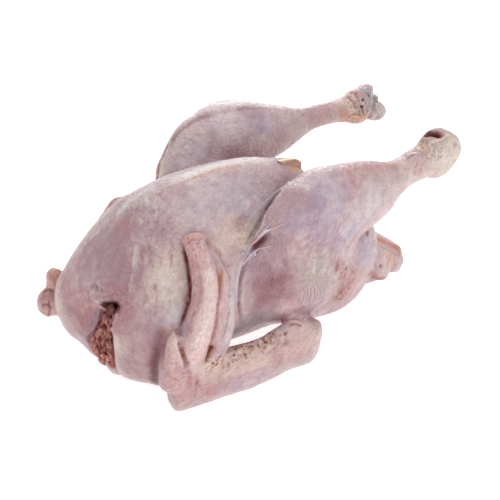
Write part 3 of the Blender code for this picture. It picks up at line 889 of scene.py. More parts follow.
# %% Thumb
thumb = trace((170, 334), (171, 348), (172, 362))
wing_blot(thumb, 8, PINK, 0.6)
wing_blot(thumb, 5, FAT, 0.25)
THUMB_FOLDS = [               # picture marks, lift and width in mm, tint, amount
    (((165, 342), (163, 358), (162, 372)), 0, 3, RUST, 0.5),
    (((174, 338), (178, 352), (182, 366)), 0.8, 2.2, FAT, 0.45),
    (((178, 340), (183, 354), (188, 368)), -2.6, 2.0, RUST, 0.7),
    (((168, 345), (169, 356), (167, 366)), -0.7, 1.4, ROSE, 0.5),
]
for folded in THUMB_FOLDS:
    wing_fold(*folded)

shaded_breast = trace((161, 334), (157, 348), (154, 364), (154, 382))      # where the thumb's shade falls
deepest_shade = trace((158, 352), (156, 366), (155, 384))
thumb_root = trace((165, 354), (165, 342), (167, 332))
blot(shaded_breast, 4.5, DARK_ROSE, 0.65, edge=0.9)
blot(deepest_shade, 3.5, SHADE_UMBER, 0.45, edge=0.9)
fold(thumb_root, 0, 2.2, ROSE, 0.5)
print("thumb, mm long:", round(len(thumb) * STEP / MM))

# %% Wrist and forearm
forearm = trace((180, 388), (215, 376), (250, 362), (290, 345), (315, 333))
forearm_top = trace((200, 374), (230, 366), (262, 358))
elbow = trace((292, 342), (314, 332))
wing_blot(forearm, 15, PINK, 0.35, edge=0.4)
wing_blot(forearm_top, 9, CREAM, 0.65)
wing_blot(elbow, 12, CREAM, 0.4)
WRIST_TINTS = [               # picture spot, radius in mm, tint, amount
    ((212, 392), 7, ROSE, 0.55), ((192, 380), 7, ROSE, 0.55), ((170, 380), 7, PINK, 0.5),
    ((180, 402), 8, ROSE, 0.35), ((240, 384), 9, LILAC, 0.35), ((262, 374), 8, LILAC, 0.3),
    ((224, 385), 6, MAUVE, 0.4), ((300, 352), 8, PINK, 0.3),
]
for tinted in WRIST_TINTS:
    wing_blot(*tinted)
ARM_FOLDS = [                 # picture marks, width and depth in mm
    (((163, 368), (170, 376), (180, 380)), 1.6, 0.7), (((186, 366), (190, 378), (189, 392)), 1.6, 0.8),
    (((196, 372), (199, 384), (203, 392)), 1.4, 0.5), (((176, 397), (186, 396), (197, 399)), 1.5, 0.4),
]
for marks, width, depth in ARM_FOLDS:
    wing_fold(marks, -0.7 * depth, width, ROSE, 0.4, spread=1.3)
slack_wrist = trace((170, 375), (182, 388), (198, 392))
slack_forearm = trace((225, 378), (262, 360), (300, 342))
wrist_crease = trace((199, 379), (196, 389), (195, 399))
up_the_arm = spot(225, 375) - spot(185, 392)
down_the_thumb = spot(172, 362) - spot(171, 338)
wing_crinkle(slack_wrist, 15, 4.4, up_the_arm, 0.45, ROSE, 0.28)
wing_crinkle(thumb, 8, 3.4, down_the_thumb, 0.15, ROSE, 0.15)
wing_crinkle(slack_forearm, 13, 6.0, up_the_arm, 0.35, ROSE, 0.16)
fold(wrist_crease, -0.4, 1.3, ROSE, 0.8)
print("forearm, mm long:", round(len(forearm) * STEP / MM))

# %% Quill sockets and crust
QUILL_SOCKETS = [             # picture spot, radius in mm
    (213, 364, 1.3), (221, 361, 0.9), (234, 355, 1.1), (244, 349, 0.8), (258, 345, 0.9), (271, 341, 0.7),
    (229, 364, 0.8), (250, 353, 0.7), (207, 369, 0.9),
]
crust = trace((206, 367), (222, 361), (236, 354), (252, 346), (272, 340), (290, 336))
pits = skin.grain(3.3 * MM, 3, 21.0)
for line in (crust, far_wing(crust)):
    rough = band(line, 7.5 * MM, 0.05)
    skin.lift(MM * rough * (0.9 * pits - 1.6 * np.clip(pits - 0.3, 0, 1)))
    skin.wash(TAN, 0.85 * rough * np.clip(0.35 + 1.8 * specks, 0, 1))
    skin.wash(FAT, 0.8 * rough * np.clip(-0.1 - 2.2 * pits, 0, 1))
    skin.wash(RUST, rough * np.clip(3.5 * (pits - 0.12), 0, 0.95))
    skin.wash(DARK_MEAT_AND_SHADE, rough * np.clip(4.0 * (pits - 0.42), 0, 0.8))
for across, down, radius in QUILL_SOCKETS:
    place = spot(across, down)
    wing_blot(place, 1.9 * radius, CREAM, 0.4, 0.6, lift=0.5)
    wing_blot(place, radius, DARK_MEAT_AND_SHADE, 0.75, 0.8, lift=-1.6)
elbow_flap = trace((287, 322), (294, 321), (300, 323), (306, 327))
under_flap = trace((288, 325), (295, 324), (302, 326))
wing_fold(elbow_flap, 0.9, 1.3, PINK, 0.6)
wing_fold(under_flap, -0.8, 1.1, ROSE, 0.7)
print("quill sockets:", len(QUILL_SOCKETS), "on each forearm")

# %% [markdown]
# ## The hocks
# The feet were cut off at the hock. The near one shows the open socket of the joint under a rolled
# lip of skin. The far one was cut through the joint, so that bare gristle stands out of a cuff.

# %% Near hock
near_hock, hock_fat = spot(446, 158), spot(446, 156)
shank_fat = trace((405, 165), (430, 168))
socket = trace((427, 133), (433, 132), (440, 134))
socket_blood = trace((426, 133), (436, 133))
socket_side = trace((418, 134), (419, 141), (423, 149))
under_socket = trace((424, 146), (433, 148))
socket_lip = trace((428, 143), (436, 141), (443, 138), (450, 133))
slack_hock = trace((421, 146), (430, 151), (438, 150))
slack_shank = trace((404, 166), (420, 168))
down_the_hock = spot(432, 162) - spot(428, 145)
FAT_CRUMB, DIMPLE = (419, 149), (455, 145)
GREENISH_MARKS = [(446, 141), (452, 156), (447, 165)]
blot(near_hock, 21, BONE, 0.75, edge=0.4)
blot(hock_fat, 14, FAT, 0.35)
blot(shank_fat, 12, CREAM, 0.4)
fold(socket, -5.5, 3.4, RUST, 0.95, taper=0, spread=1.5)
blot(socket_blood, 4.4, DARK_MEAT_AND_SHADE, 0.72, edge=0.4)
blot(socket_side, 5, TAN, 0.7)
blot(under_socket, 8, CREAM, 0.35)
fold(socket_lip, 1.0, 1.2, FAT, 0.6)
crinkle(slack_hock, 10, 3.2, down_the_hock, 0.8, SHADE, 0.40)
crinkle(slack_shank, 9, 3.4, down_the_hock, 0.5, ROSE, 0.4)
blot(FAT_CRUMB, 1.6, FAT, 0.9, lift=0.8)
blot(DIMPLE, 2.0, SHADE, 0.6, lift=-0.6)
for mark in GREENISH_MARKS:
    blot(mark, 2.0, GREENISH, 0.5)
print("near hock's middle at, mm:", (near_hock / MM).round())

# %% Far hock
cuff = trace((353, 93), (357, 99), (360, 107), (364, 118))
far_joint = spot(375, 103)
slack_cuff = trace((350, 98), (354, 112))
round_the_cuff = spot(360, 98) - spot(346, 102)
CUFF_TINTS = [                # picture marks, radius in mm, tint, amount, edge
    (((343, 110), (350, 116), (362, 119)), 8, TAN, 0.65, 0.6),
    (((344, 119), (356, 122), (368, 120)), 5, SALMON, 0.5, 0.5),
    (((346, 116), (356, 119), (366, 118)), 5, FLAP, 0.6, 0.5),
    (((342, 99), (350, 103), (356, 108)), 9, CREAM, 0.6, 0.6),
]
CUFF_CREASES = [((346, 96), (352, 101), (356, 109)), ((347, 118), (354, 114), (361, 116)),
                ((349, 92), (354, 94), (358, 92))]
CUFF_PITS = [(363, 100), (362, 107)]
blot(far_joint, 15, GRISTLE, 0.95, edge=0.25, lift=-1.5)
crinkle(slack_cuff, 9, 3.0, round_the_cuff, 0.8, RUST, 0.5)
for tinted in CUFF_TINTS:
    blot(*tinted)
fold(cuff, 1.6, 1.8, TAN, 0.5, side=LEFT)
fold(cuff, -1.6, 2.0, RUST, 0.4, side=RIGHT)
for marks in CUFF_CREASES:
    fold(marks, -0.9, 1.1, RUST, 0.5)
for mark in CUFF_PITS:
    blot(mark, 1.7, DARK_MEAT_AND_SHADE, 0.8, lift=-1.5)
print("far hock's cuff, mm round:", round(len(cuff) * STEP / MM))

# %% [markdown]
# ## The tail and the keel's end
# Both show a cut or dried edge of yellow fat: an orange band along the tail's upper edge, and a
# thin tan flap of gristle where the keel ends.

# %% Tail
tail_edge = trace((378, 239), (385, 242), (392, 245), (399, 249))
over_edge = trace((378, 236), (386, 239), (394, 243), (401, 246))
under_edge = trace((370, 243), (381, 247), (392, 252), (399, 256))
rump_pit, slack_tail, tail_fat = (368, 233), (386, 264), (388, 264)
tail_flush, tail_pit = (392, 262), (381, 266)
tail_foot = trace((370, 273), (376, 278), (384, 279))
down_the_tail = spot(384, 276) - spot(388, 254)
TAIL_CREASES = [((374, 252), (376, 262), (374, 270)), ((386, 256), (388, 266), (385, 275)),
                ((394, 256), (395, 264), (393, 272))]
blot(tail_edge, 5.2, SALMON, 0.85, edge=0.7, far=far_breast)
blot(tail_edge, 3.0, RUST, 0.40, edge=0.8, far=far_breast)
fold(over_edge, 0.6, 1.6, SALMON, 0.4)
fold(under_edge, -0.3, 1.2, RUST, 0.3)
blot(rump_pit, 2.6, RUST, 0.8, lift=-1.2)
crinkle(slack_tail, 12, 3.4, down_the_tail, 0.6, ROSE, 0.4)
blot(tail_fat, 14, CREAM, 0.65)
blot(tail_flush, 10, SALMON, 0.35)
blot(tail_pit, 1.9, RUST, 0.9, lift=-2.0)
blot(tail_foot, 3.4, RUST, 0.7)
for marks in TAIL_CREASES:
    fold(marks, -0.25, 1.3, DARK_ROSE, 0.25)
print("tail's cut edge, mm long:", round(len(tail_edge) * STEP / MM))

# %% Skin at the keel's end
under_plate, keel_end = trace((284, 162), (290, 165), (294, 170)), spot(297, 168)
blot(under_plate, 5.0, FLAP, 0.95, edge=0.3)
blot(keel_end, 5.5, FLAP, 0.9, edge=0.3)
print("the keel ends at, mm:", (keel_end / MM).round())

# %% [markdown]
# ## The far wing's wrist
# Only the wrist and thumb of the far wing show at the breast's left, darker and redder than the
# near ones, as they lie in the shade. The tip of its hand just shows above the shoulder.

# %% Far wrist
FAR_WRIST_TINTS = [           # picture marks, radius in mm, tint, amount
    (((47, 295), (48, 310), (50, 318)), 12, PINK, 0.6), ((50, 307), 8, BLUSH_AND_PAINTED_LIGHT, 0.45),
    (((44, 296), (46, 314)), 7, ROSE, 0.45), (((52, 272), (53, 284)), 9, SALMON, 0.7),
    (((42, 300), (43, 316)), 5, RUST, 0.25),
]
FAR_WRIST_CREASES = [((42, 292), (48, 290), (55, 292)), ((41, 306), (47, 305), (52, 309)),
                     ((49, 300), (50, 310), (48, 318))]
far_tip = far_wing(spot(196, 244))
for tinted in FAR_WRIST_TINTS:
    blot(*tinted)
blot(far_tip, 14, RUST, 0.75)
for marks in FAR_WRIST_CREASES:
    fold(marks, -1.0, 1.3, DARK_MEAT_AND_SHADE, 0.5)
print("creases on the far wrist:", len(FAR_WRIST_CREASES))

# %% [markdown]
# ## The opening at the tail
# Inside the opening the bird has no skin: the wall is thin membrane over dark meat. It is tinted by
# how deep a point lies inside the opening, so that the skin's tint fades out over the rim.

# %% Opening
OPENING = np.array([0.0769, -0.0016, 0.0928])      # middle of the opening's hollow
OPENING_LEAN = math.radians(43)                    # of its axis, from upright towards the tail
OPENING_RADIUS, OPENING_REACH = 0.042, 0.062       # nothing further off its axis or middle is its wall
RIM_DEPTH = 0.030                                  # over this depth the skin gives way to the raw wall
INWARD = np.array([-math.sin(OPENING_LEAN), 0.0, -math.cos(OPENING_LEAN)])
from_middle = skin.points - OPENING
inward = from_middle @ INWARD
off_axis = np.linalg.norm(from_middle - inward[:, None] * INWARD, axis=1)
facing_in = (normals * from_middle).sum(axis=1) < 0
inside = facing_in & (off_axis < OPENING_RADIUS) & (np.abs(inward) < OPENING_REACH)
raw = np.where(inside, np.clip((inward + RIM_DEPTH) / RIM_DEPTH, 0, 1), 0)
skin.wash(MEAT, 0.75 * raw)
skin.wash(DARK_MEAT_AND_SHADE, 0.6 * np.clip(raw * (inward / 0.05), 0, 1))
skin.lift(0.9 * MM * raw * streaks)
print("points inside the opening:", int(inside.sum()))

# %% [markdown]
# ## Bending the skin
# All the lifts and hollows are added once, along the normals, and one short relaxing round takes off
# what would look like tool marks. The finished form then tints itself: its grooves turn darker rose
# and its ridges paler, by how deep or high they are. The side that lies on the table stays flat.

# %% Bend
highest, deepest = float(skin.height.max()) / MM, float(skin.height.min()) / MM
print("largest lift, mm:", round(highest, 1), "deepest, mm:", round(deepest, 1))
skin.bend()
skin.relax(1)
skin.points[:, 2] = np.maximum(skin.points[:, 2], 0.0)
groove = skin.hollows(3)
paleness = np.clip(skin.tint.mean(axis=1) / SKIN.mean(), 0, 1) ** 2          # what is dark stays dark
skin.wash(DARK_ROSE, paleness * np.clip(1.6 * groove - 0.04, 0, 0.55))
skin.wash(FAT, paleness * np.clip(-1.3 * groove - 0.06, 0, 0.35))
skin.colour_in()
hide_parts("turkey")
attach(turkey, "root")
bent = tree_of(skin)

# %% [markdown]
# ## The skin's finish
# Chilled poultry skin is collagen with fat under it: light goes a few millimetres in and comes out
# warmer, and a thin film of moisture gives soft, broken highlights. It is drawn with subsurface
# light, a fine mottle, the goose bumps of plucked feathers, fine lines that run down the sides, and
# a weak coat for the moisture. Bare muscle and gristle are the same stuff with other grains.

# %% Nodes


def add(tree, kind, settings, links):
    """One node: settings are its properties or socket values, links are socket: output."""
    made = tree.nodes.new(kind)
    for name, value in settings.items():
        if isinstance(name, str) and hasattr(made, name):
            setattr(made, name, value)
        else:
            made.inputs[name].default_value = value
    for name, output in links.items():
        tree.links.new(output, made.inputs[name])
    return made


def empty_material(name):
    material = bpy.data.materials.new(name)
    material.use_nodes = True
    material.node_tree.nodes.clear()
    return material


# %% A moist tissue
TISSUE_IOR = 1.40                    # wet protein bends light a little more than water's 1.33
LIGHT_DEPTH = 2.5 * MM               # how far red light wanders in it
DRIED, FILM_ROUGHNESS = 0.85, 0.16   # roughness of dried blood, and of the moist film
DARKEST, FILM_FULL = 0.08, 0.30      # linear brightness where the moist film sets in, and where it is full


def flesh(name, grains, contrast, gloss, coat, scatter):
    """A moist tissue. grains: (kind, size in mm, stretch along Z, bump in mm, share of the contrast)."""
    material = empty_material(name)
    tree = material.node_tree
    where = add(tree, "ShaderNodeTexCoord", {}, {}).outputs["Object"]
    colour = add(tree, "ShaderNodeAttribute", {"attribute_name": "tint"}, {}).outputs["Color"]
    normal, height = None, None
    for kind, size, stretch, bump, share in grains:
        place = add(tree, "ShaderNodeVectorMath",
                    {"operation": "MULTIPLY", 1: (1, 1, 1 / stretch)}, {0: where})
        if kind == "cells":
            grain = add(tree, "ShaderNodeTexVoronoi",
                        {"feature": "SMOOTH_F1", "Scale": 1 / (size * MM), "Smoothness": 0.5,
                         "Randomness": 0.9},
                        {"Vector": place.outputs[0]})
            height, low, high = grain.outputs["Distance"], 0.05, 0.62
        else:
            grain = add(tree, "ShaderNodeTexNoise",
                        {"Scale": 1 / (size * MM), "Detail": 3.0, "Roughness": 0.6, "Distortion": 0.5},
                        {"Vector": place.outputs[0]})
            height, low, high = grain.outputs["Fac"], 0.32, 0.68
        sign = -1 if kind == "cells" else 1
        dark, light = 1 - sign * contrast * share, 1 + sign * contrast * share
        shade = add(tree, "ShaderNodeMapRange",
                    {"From Min": low, "From Max": high, "To Min": dark, "To Max": light},
                    {"Value": height}).outputs["Result"]
        colour = add(tree, "ShaderNodeVectorMath", {"operation": "SCALE"},
                     {0: colour, "Scale": shade}).outputs[0]
        lifted = {"Height": height} if normal is None else {"Height": height, "Normal": normal}
        normal = add(tree, "ShaderNodeBump",
                     {"Strength": 0.8, "Distance": bump * MM, "invert": kind == "cells"},
                     lifted).outputs["Normal"]
    rough = add(tree, "ShaderNodeMapRange",
                {"From Min": 0.3, "From Max": 0.7, "To Min": gloss - 0.10, "To Max": gloss + 0.12},
                {"Value": height}).outputs["Result"]
    # Blood that dried in a dark hollow is matt: the moist film fades out and the surface roughens there.
    pale = add(tree, "ShaderNodeMapRange",
               {"From Min": DARKEST, "From Max": FILM_FULL, "To Min": 0.0, "To Max": 1.0},
               {"Value": colour}).outputs["Result"]
    film = add(tree, "ShaderNodeMath", {"operation": "MULTIPLY", 1: coat}, {0: pale}).outputs[0]
    rough = add(tree, "ShaderNodeMix", {"data_type": "FLOAT", 2: DRIED}, {0: pale, 3: rough}).outputs[0]
    shader = add(tree, "ShaderNodeBsdfPrincipled",
                 {"IOR": TISSUE_IOR, "Subsurface Weight": scatter, "Subsurface Radius": (1.0, 0.5, 0.4),
                  "Subsurface Scale": LIGHT_DEPTH, "Specular IOR Level": 0.3,
                  "Coat Roughness": FILM_ROUGHNESS},
                 {"Base Color": colour, "Roughness": rough, "Coat Weight": film, "Normal": normal,
                  "Coat Normal": normal})
    add(tree, "ShaderNodeOutputMaterial", {}, {"Surface": shader.outputs["BSDF"]})
    return material


# %% The three finishes
# Plucked skin, chilled: matt and finely pitted under its film. Goose bumps are about 2 mm apart and
# the finest lines half a millimetre, and both are drawn coarser, so that they show.
skin_finish = flesh("chilled_turkey_skin",
                    [("noise", 1.4, 1.0, 0.50, 0.5), ("cells", 3.0, 1.0, 0.95, 0.4),
                     ("noise", 2.0, 5.0, 0.70, 0.25), ("noise", 7.0, 1.0, 1.1, 0.4)],
                    contrast=0.15, gloss=0.42, coat=0.32, scatter=0.09)
# Torn muscle: wet fibres and globules, so its grains are strong and its film is bright.
muscle_finish = flesh("raw_wet_muscle",
                      [("noise", 1.0, 1.0, 0.3, 0.8), ("noise", 1.6, 4.0, 0.6, 1.0),
                       ("cells", 4.0, 1.0, 0.6, 0.6)],
                      contrast=0.28, gloss=0.30, coat=0.5, scatter=0.15)
# Joint gristle: smooth, cloudy and wet, with hardly any grain and the most light in its depth.
gristle_finish = flesh("wet_joint_gristle",
                       [("noise", 1.2, 1.0, 0.15, 0.6), ("noise", 4.0, 1.0, 0.5, 1.0)],
                       contrast=0.12, gloss=0.34, coat=0.4, scatter=0.2)


def dress(piece, material):
    piece.data.materials.clear()
    piece.data.materials.append(material)
    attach(piece, "root")


dress(turkey, skin_finish)
print("materials of flesh:", skin_finish.name, muscle_finish.name, gristle_finish.name)

# %% [markdown]
# ## Tools for the small pieces
# What isn't skin is either a lump or a strand. Lumps and strands are put together in one mesh, and
# most pieces are fused on a fine grid, so that each is one closed, soft-edged body that sits in the skin.

# %% Lumps and strands
ROUND_SIDES = 8


def outward(place):
    """The skin's outward direction at a place, on the bent skin."""
    return np.array(bent.find_nearest(Vector(place))[1])


def on_skin(places, above=0.0):
    """Places moved to the bent skin, then lifted by millimetres."""
    found = [bent.find_nearest(Vector(place))[:2] for place in np.atleast_2d(places)]
    return np.array([np.array(place) + np.array(normal) * above * MM for place, normal in found])


def add_lump(bm, centre, radii, turn=(0.0, 0.0, 0.0)):
    matrix = Matrix.LocRotScale(Vector(centre), Euler(turn), Vector(radii) * MM)
    bmesh.ops.create_icosphere(bm, subdivisions=2, radius=1.0, matrix=matrix)


def add_strand(bm, path, thick, thin):
    """A round strand that tapers towards its end; both radii in millimetres."""
    rings, across = [], Vector((0.3, 0.5, 0.8))
    for k, place in enumerate(path):
        ahead = Vector(path[min(k + 1, len(path) - 1)] - path[max(k - 1, 0)]).normalized()
        across = (across - ahead * across.dot(ahead)).normalized()
        radius = (thick + (thin - thick) * k / (len(path) - 1)) * MM
        turns = [2 * math.pi * side / ROUND_SIDES for side in range(ROUND_SIDES)]
        spokes = [across * math.cos(t) + ahead.cross(across) * math.sin(t) for t in turns]
        rings.append([bm.verts.new(Vector(place) + spoke * radius) for spoke in spokes])
    for low, high in zip(rings, rings[1:]):
        for k in range(ROUND_SIDES):
            follow = (k + 1) % ROUND_SIDES
            bm.faces.new((low[k], low[follow], high[follow], high[k]))
    bm.faces.new(rings[0][::-1])
    bm.faces.new(rings[-1])


def piece_of(bm, name, grid=None):
    mesh = bpy.data.meshes.new(name)
    bm.to_mesh(mesh)
    bm.free()
    piece = new_object(name, mesh)
    return evened(piece, grid) if grid else piece


print("small pieces are made of lumps, and of strands with", ROUND_SIDES, "sides")

# %% [markdown]
# ## The meat in the neck's slit
# Where the neck was cut away, torn muscle, fat and sinew stand in the slit. It is a row of lumps
# that runs down the slit, with sinews laid over them, fused and roughened by a fine grain. A second
# grain mixes salmon into the red, the ridges are painted pink as highlights and the gaps dark as
# shade, and painted shade darkens it towards the hole at the slit's top.

# %% Meat at the neck
MEAT_GRID = 0.8 * MM
MEAT_LINE = [(111, 308), (109, 318), (105, 330), (101, 342), (101, 352), (106, 362)]    # down the slit
MEAT_HALF_WIDTH = [5, 6, 8, 11, 11, 7]                                                # in pixels
LUMPS, SINEWS = 26, 20
# The heights where painted shade sets in: the slit's shaded top, and the dark of its hole.
SHADED_FROM, SHADED_OVER = 0.045, 0.015           # the height where the slit's shade sets in, and its rise
HOLE_FROM, HOLE_OVER = 0.058, 0.012               # and the same for the dark of the hole
draw = np.random.default_rng(7)


def slit_spot(share, across):
    """A place in the slit: share down it, and across from -1, the far edge, to 1, the near one."""
    at = share * (len(MEAT_LINE) - 1)
    x = np.interp(at, range(len(MEAT_LINE)), [mark[0] for mark in MEAT_LINE])
    y = np.interp(at, range(len(MEAT_LINE)), [mark[1] for mark in MEAT_LINE])
    half = np.interp(at, range(len(MEAT_LINE)), MEAT_HALF_WIDTH)
    hit = bent.ray_cast(EYE, sight(x + across * half, y))[0]
    return np.array(hit) if hit else spot(x + across * half, y)


bm = bmesh.new()
for k in range(LUMPS):
    share, across = (k + 0.5) / LUMPS, draw.uniform(-0.8, 0.8)
    centre = slit_spot(share, across) + np.array(BACK) * draw.uniform(-1.0, 2.4) * MM
    long, wide = draw.uniform(3.0, 6.5), draw.uniform(2.2, 4.0)
    turn = (draw.uniform(-0.7, 0.7), draw.uniform(-0.7, 0.7), draw.uniform(0, 3))
    add_lump(bm, centre, (wide, wide, long), turn)
for k in range(SINEWS):
    start, across = draw.uniform(0.0, 0.62), draw.uniform(-1.0, 0.9)
    run = [slit_spot(min(start + step * 0.07, 0.94), across + draw.uniform(-0.25, 0.25))
           for step in range(6)]
    add_strand(bm, on_skin(smooth_way(run, 24), draw.uniform(-0.5, 1.6)), draw.uniform(1.5, 3.0), 1.0)
neck_meat = piece_of(bm, "neck_meat", MEAT_GRID)
meat = Sheet(neck_meat.data)
meat.relax(9)
meat.lift(0.75 * MM * meat.grain(2.2 * MM, 3, 2.0, upright=2.4))
meat.bend()
meat.points[:, 2] = np.maximum(meat.points[:, 2], 0.2 * MM)
deep = meat.hollows(3)
height = meat.points[:, 2]
shade = meat.grain(3.4 * MM, 3, 4.0, upright=2.2)
meat.tint[:] = MEAT
meat.wash(SALMON, np.clip(0.42 + 1.8 * shade, 0, 0.9))
# Painted highlight on the ridges, then painted shade towards the slit's top, in the hole and in the gaps.
meat.wash(PINK, np.clip(-2.0 * deep - 0.8 * shade, 0, 0.6))
meat.wash(MAUVE, 0.15 * np.clip((height - SHADED_FROM) / SHADED_OVER, 0, 1))
meat.wash(DARK_MEAT_AND_SHADE, 0.7 * np.clip((height - HOLE_FROM) / HOLE_OVER, 0, 1))
meat.wash(DARK_MEAT_AND_SHADE, np.clip(1.5 * deep, 0, 0.5))
meat.colour_in()
dress(neck_meat, muscle_finish)
print("meat at the neck:", len(meat.points), "points")

# %% [markdown]
# ## Strands in the stretched web
# Between wing and thigh a few strands of connective tissue stand out of the skin like slack strings,
# with small white knots of fat on them. Each follows a path on the skin, sunk at its foot so that it
# grows out of the web, and arched a little in the middle so that it stands free of the skin.

# %% Web strands
WEB_STRANDS = [               # picture marks, radius at the start and end, arch, all three in mm
    (((244, 256), (252, 245), (259, 238), (267, 231), (276, 227), (286, 223)), 1.6, 0.45, 0.6),
    (((240, 272), (246, 260), (253, 253), (259, 249), (266, 247), (275, 245)), 1.3, 0.4, 0.9),
    (((255, 238), (262, 233), (272, 222), (281, 214)), 0.9, 0.3, 0.3),
]
WEB_KNOTS = [((255, 254), 1.4), ((243, 254), 1.0)]       # picture spot, radius in mm
bm = bmesh.new()
for marks, thick, thin, arch in WEB_STRANDS:
    near_path = trace(*marks)
    for path in (near_path, far_breast(near_path)):
        steps = np.linspace(0, math.pi, len(path))
        sunk = 2 * thick * np.clip(1 - 4 * np.arange(len(path)) / len(path), 0, 1)
        lifted = np.array([on_skin(place, 0.2 * thick + arch * math.sin(step) - low)[0]
                           for place, step, low in zip(path, steps, sunk)])
        add_strand(bm, lifted, thick, thin)
for mark, radius in WEB_KNOTS:
    add_lump(bm, on_skin(spot(*mark), 1.6)[0], (radius, radius, 1.3 * radius))
web_strands = piece_of(bm, "web_strands", 0.6 * MM)
web = Sheet(web_strands.data)
web.relax(3)
web.tint[:] = PALE_LILAC
web.wash(PINK, np.clip(0.3 + web.grain(9 * MM), 0, 0.7))
web.wash(WHITE_FAT_AND_HIGHLIGHT, np.clip(0.9 * web.grain(7 * MM, 2, 6.0), 0, 0.5))
web.colour_in()
dress(web_strands, gristle_finish)
print("web strands:", len(web.points), "points")

# %% [markdown]
# ## Gristle and sockets of the joints
# The far hock was cut through: bluish white knobs of cartilage stand out of the skin's cuff, with
# dark clefts between them. In the near hock's open socket some red tissue is left.

# %% Gristle of the far hock
KNOBS = [                     # picture spot, the three radii in mm, the middle's depth in mm
    ((368, 91), (7.0, 6.5, 6.5), 3.6), ((376, 98), (4.8, 4.8, 4.5), 2.4),
    ((379, 108), (7.2, 6.5, 7.0), 3.8), ((373, 116), (6.4, 6.2, 5.4), 3.6),
    ((366, 103), (3.6, 3.4, 3.8), 1.8), ((369, 110), (4.0, 3.4, 3.6), 1.4),
]
CLEFTS = [((363, 101), 1.6), ((363, 107), 1.4), ((373, 104), 2.3), ((368, 97), 1.2)]      # radius in mm
CREAMY_KNOBS = [(379, 108), (373, 116)]


def brushed(sheet, mark, radius):
    """Weight round a picture mark that fades as under a soft brush; the radius is in mm."""
    return np.exp(-(np.linalg.norm(sheet.points - spot(*mark), axis=1) / (radius * MM)) ** 2)


bm = bmesh.new()
for mark, radii, under in KNOBS:
    place = spot(*mark)
    add_lump(bm, place - outward(place) * under * MM, radii)
hock_gristle = piece_of(bm, "hock_gristle", 0.8 * MM)
knobs = Sheet(hock_gristle.data)
knobs.relax(4)
knobs.lift(0.45 * MM * knobs.grain(5 * MM, 3, 1.0))
knobs.tint[:] = GRISTLE
knobs.wash(LILAC, np.clip(knobs.grain(9 * MM, 2, 2.0), 0, 0.2))
for mark in CREAMY_KNOBS:
    knobs.wash(CREAM, 0.25 * brushed(knobs, mark, 7))
knobs.wash(CREAM, np.clip(0.9 * knobs.grain(6 * MM, 2, 3.0), 0, 0.4))
for mark, radius in CLEFTS:
    in_cleft = brushed(knobs, mark, 1.6 * radius)
    knobs.lift(-2.4 * MM * in_cleft)
    knobs.wash(DARK_MEAT_AND_SHADE, 0.95 * in_cleft)
knobs.bend()
knobs.relax(1)
knobs.wash(DARK_ROSE, np.clip(2.2 * knobs.hollows(3), 0, 0.6))
knobs.colour_in()
dress(hock_gristle, gristle_finish)
print("gristle:", len(knobs.points), "points")

# %% Tissue in the near hock
SOCKET_DEPTH = 5.4            # mm from the skin's surface in to the lumps' middles
SOCKET_LUMPS = [              # picture spot, the three radii in mm
    ((429, 131), (2.4, 2.4, 2.0)), ((434, 133), (2.0, 1.8, 2.4)), ((438, 134), (2.6, 2.0, 1.6)),
    ((442, 134), (1.8, 2.0, 1.6)), ((432, 135), (1.6, 1.6, 1.6)),
]
bm = bmesh.new()
for mark, radii in SOCKET_LUMPS:
    add_lump(bm, on_skin(spot(*mark), -SOCKET_DEPTH)[0], radii)
socket_meat = piece_of(bm, "socket_meat", 0.6 * MM)
tissue = Sheet(socket_meat.data)
tissue.lift(0.4 * MM * tissue.grain(2.2 * MM, 2))
tissue.bend()
tissue.tint[:] = RUST
tissue.wash(DARK_MEAT_AND_SHADE, np.clip(0.20 + tissue.grain(4 * MM), 0, 0.8))
tissue.colour_in()
dress(socket_meat, muscle_finish)
print("tissue in the socket:", len(tissue.points), "points")

# %% [markdown]
# ## The keel's end
# The breastbone ends in a thin plate of gristle. Here it stands out of the cut skin as a tan wedge,
# so it is a plate of its own. Its outline is drawn in the picture and laid in an upright plane along
# the bird, just on the near side of the middle, and its far face is the same outline further in.

# %% Keel plate
PLATE_OUTLINE = [(280, 162), (289, 160), (297, 159), (302, 162), (302, 172), (296, 178), (287, 171)]
NEAR_FACE, FAR_FACE = -0.0110, -0.0055       # where its two faces lie across the bird


def in_plane(mark, across_bird):
    """The place behind a picture mark in an upright plane along the bird."""
    ray = sight(*mark)
    return EYE + ray * ((across_bird - EYE.y) / ray.y)


bm = bmesh.new()
near_face = [bm.verts.new(in_plane(mark, NEAR_FACE)) for mark in PLATE_OUTLINE]
far_face = [bm.verts.new((vert.co.x, FAR_FACE, vert.co.z)) for vert in near_face]
bm.faces.new(near_face)
bm.faces.new(far_face[::-1])
for k in range(len(near_face)):
    follow = (k + 1) % len(near_face)
    bm.faces.new((near_face[k], far_face[k], far_face[follow], near_face[follow]))
bmesh.ops.recalc_face_normals(bm, faces=bm.faces)
keel_plate = piece_of(bm, "keel_plate", 0.8 * MM)
plate = Sheet(keel_plate.data)
plate.relax(10)
plate.lift(0.25 * MM * plate.grain(4 * MM, 3, 8.0))
plate.bend()
plate.tint[:] = FLAP
plate.wash(CREAM, np.clip(0.40 + plate.grain(6 * MM, 2, 1.0), 0, 0.6))
plate.wash(CREAM, np.clip(plate.grain(4 * MM, 2, 2.0) - 0.1, 0, 0.4))
plate.colour_in()
dress(keel_plate, gristle_finish)
print("keel plate:", len(plate.points), "points")

# %% [markdown]
# ## Quill stubs, down and a tag of skin
# Plucking leaves a few broken quills in their sockets and some hair-like feathers at the joints,
# and a small tag of skin where the shank was scraped. Hair curves would be lost when the bird is
# written out as a mesh, so each hair is a very thin strand.

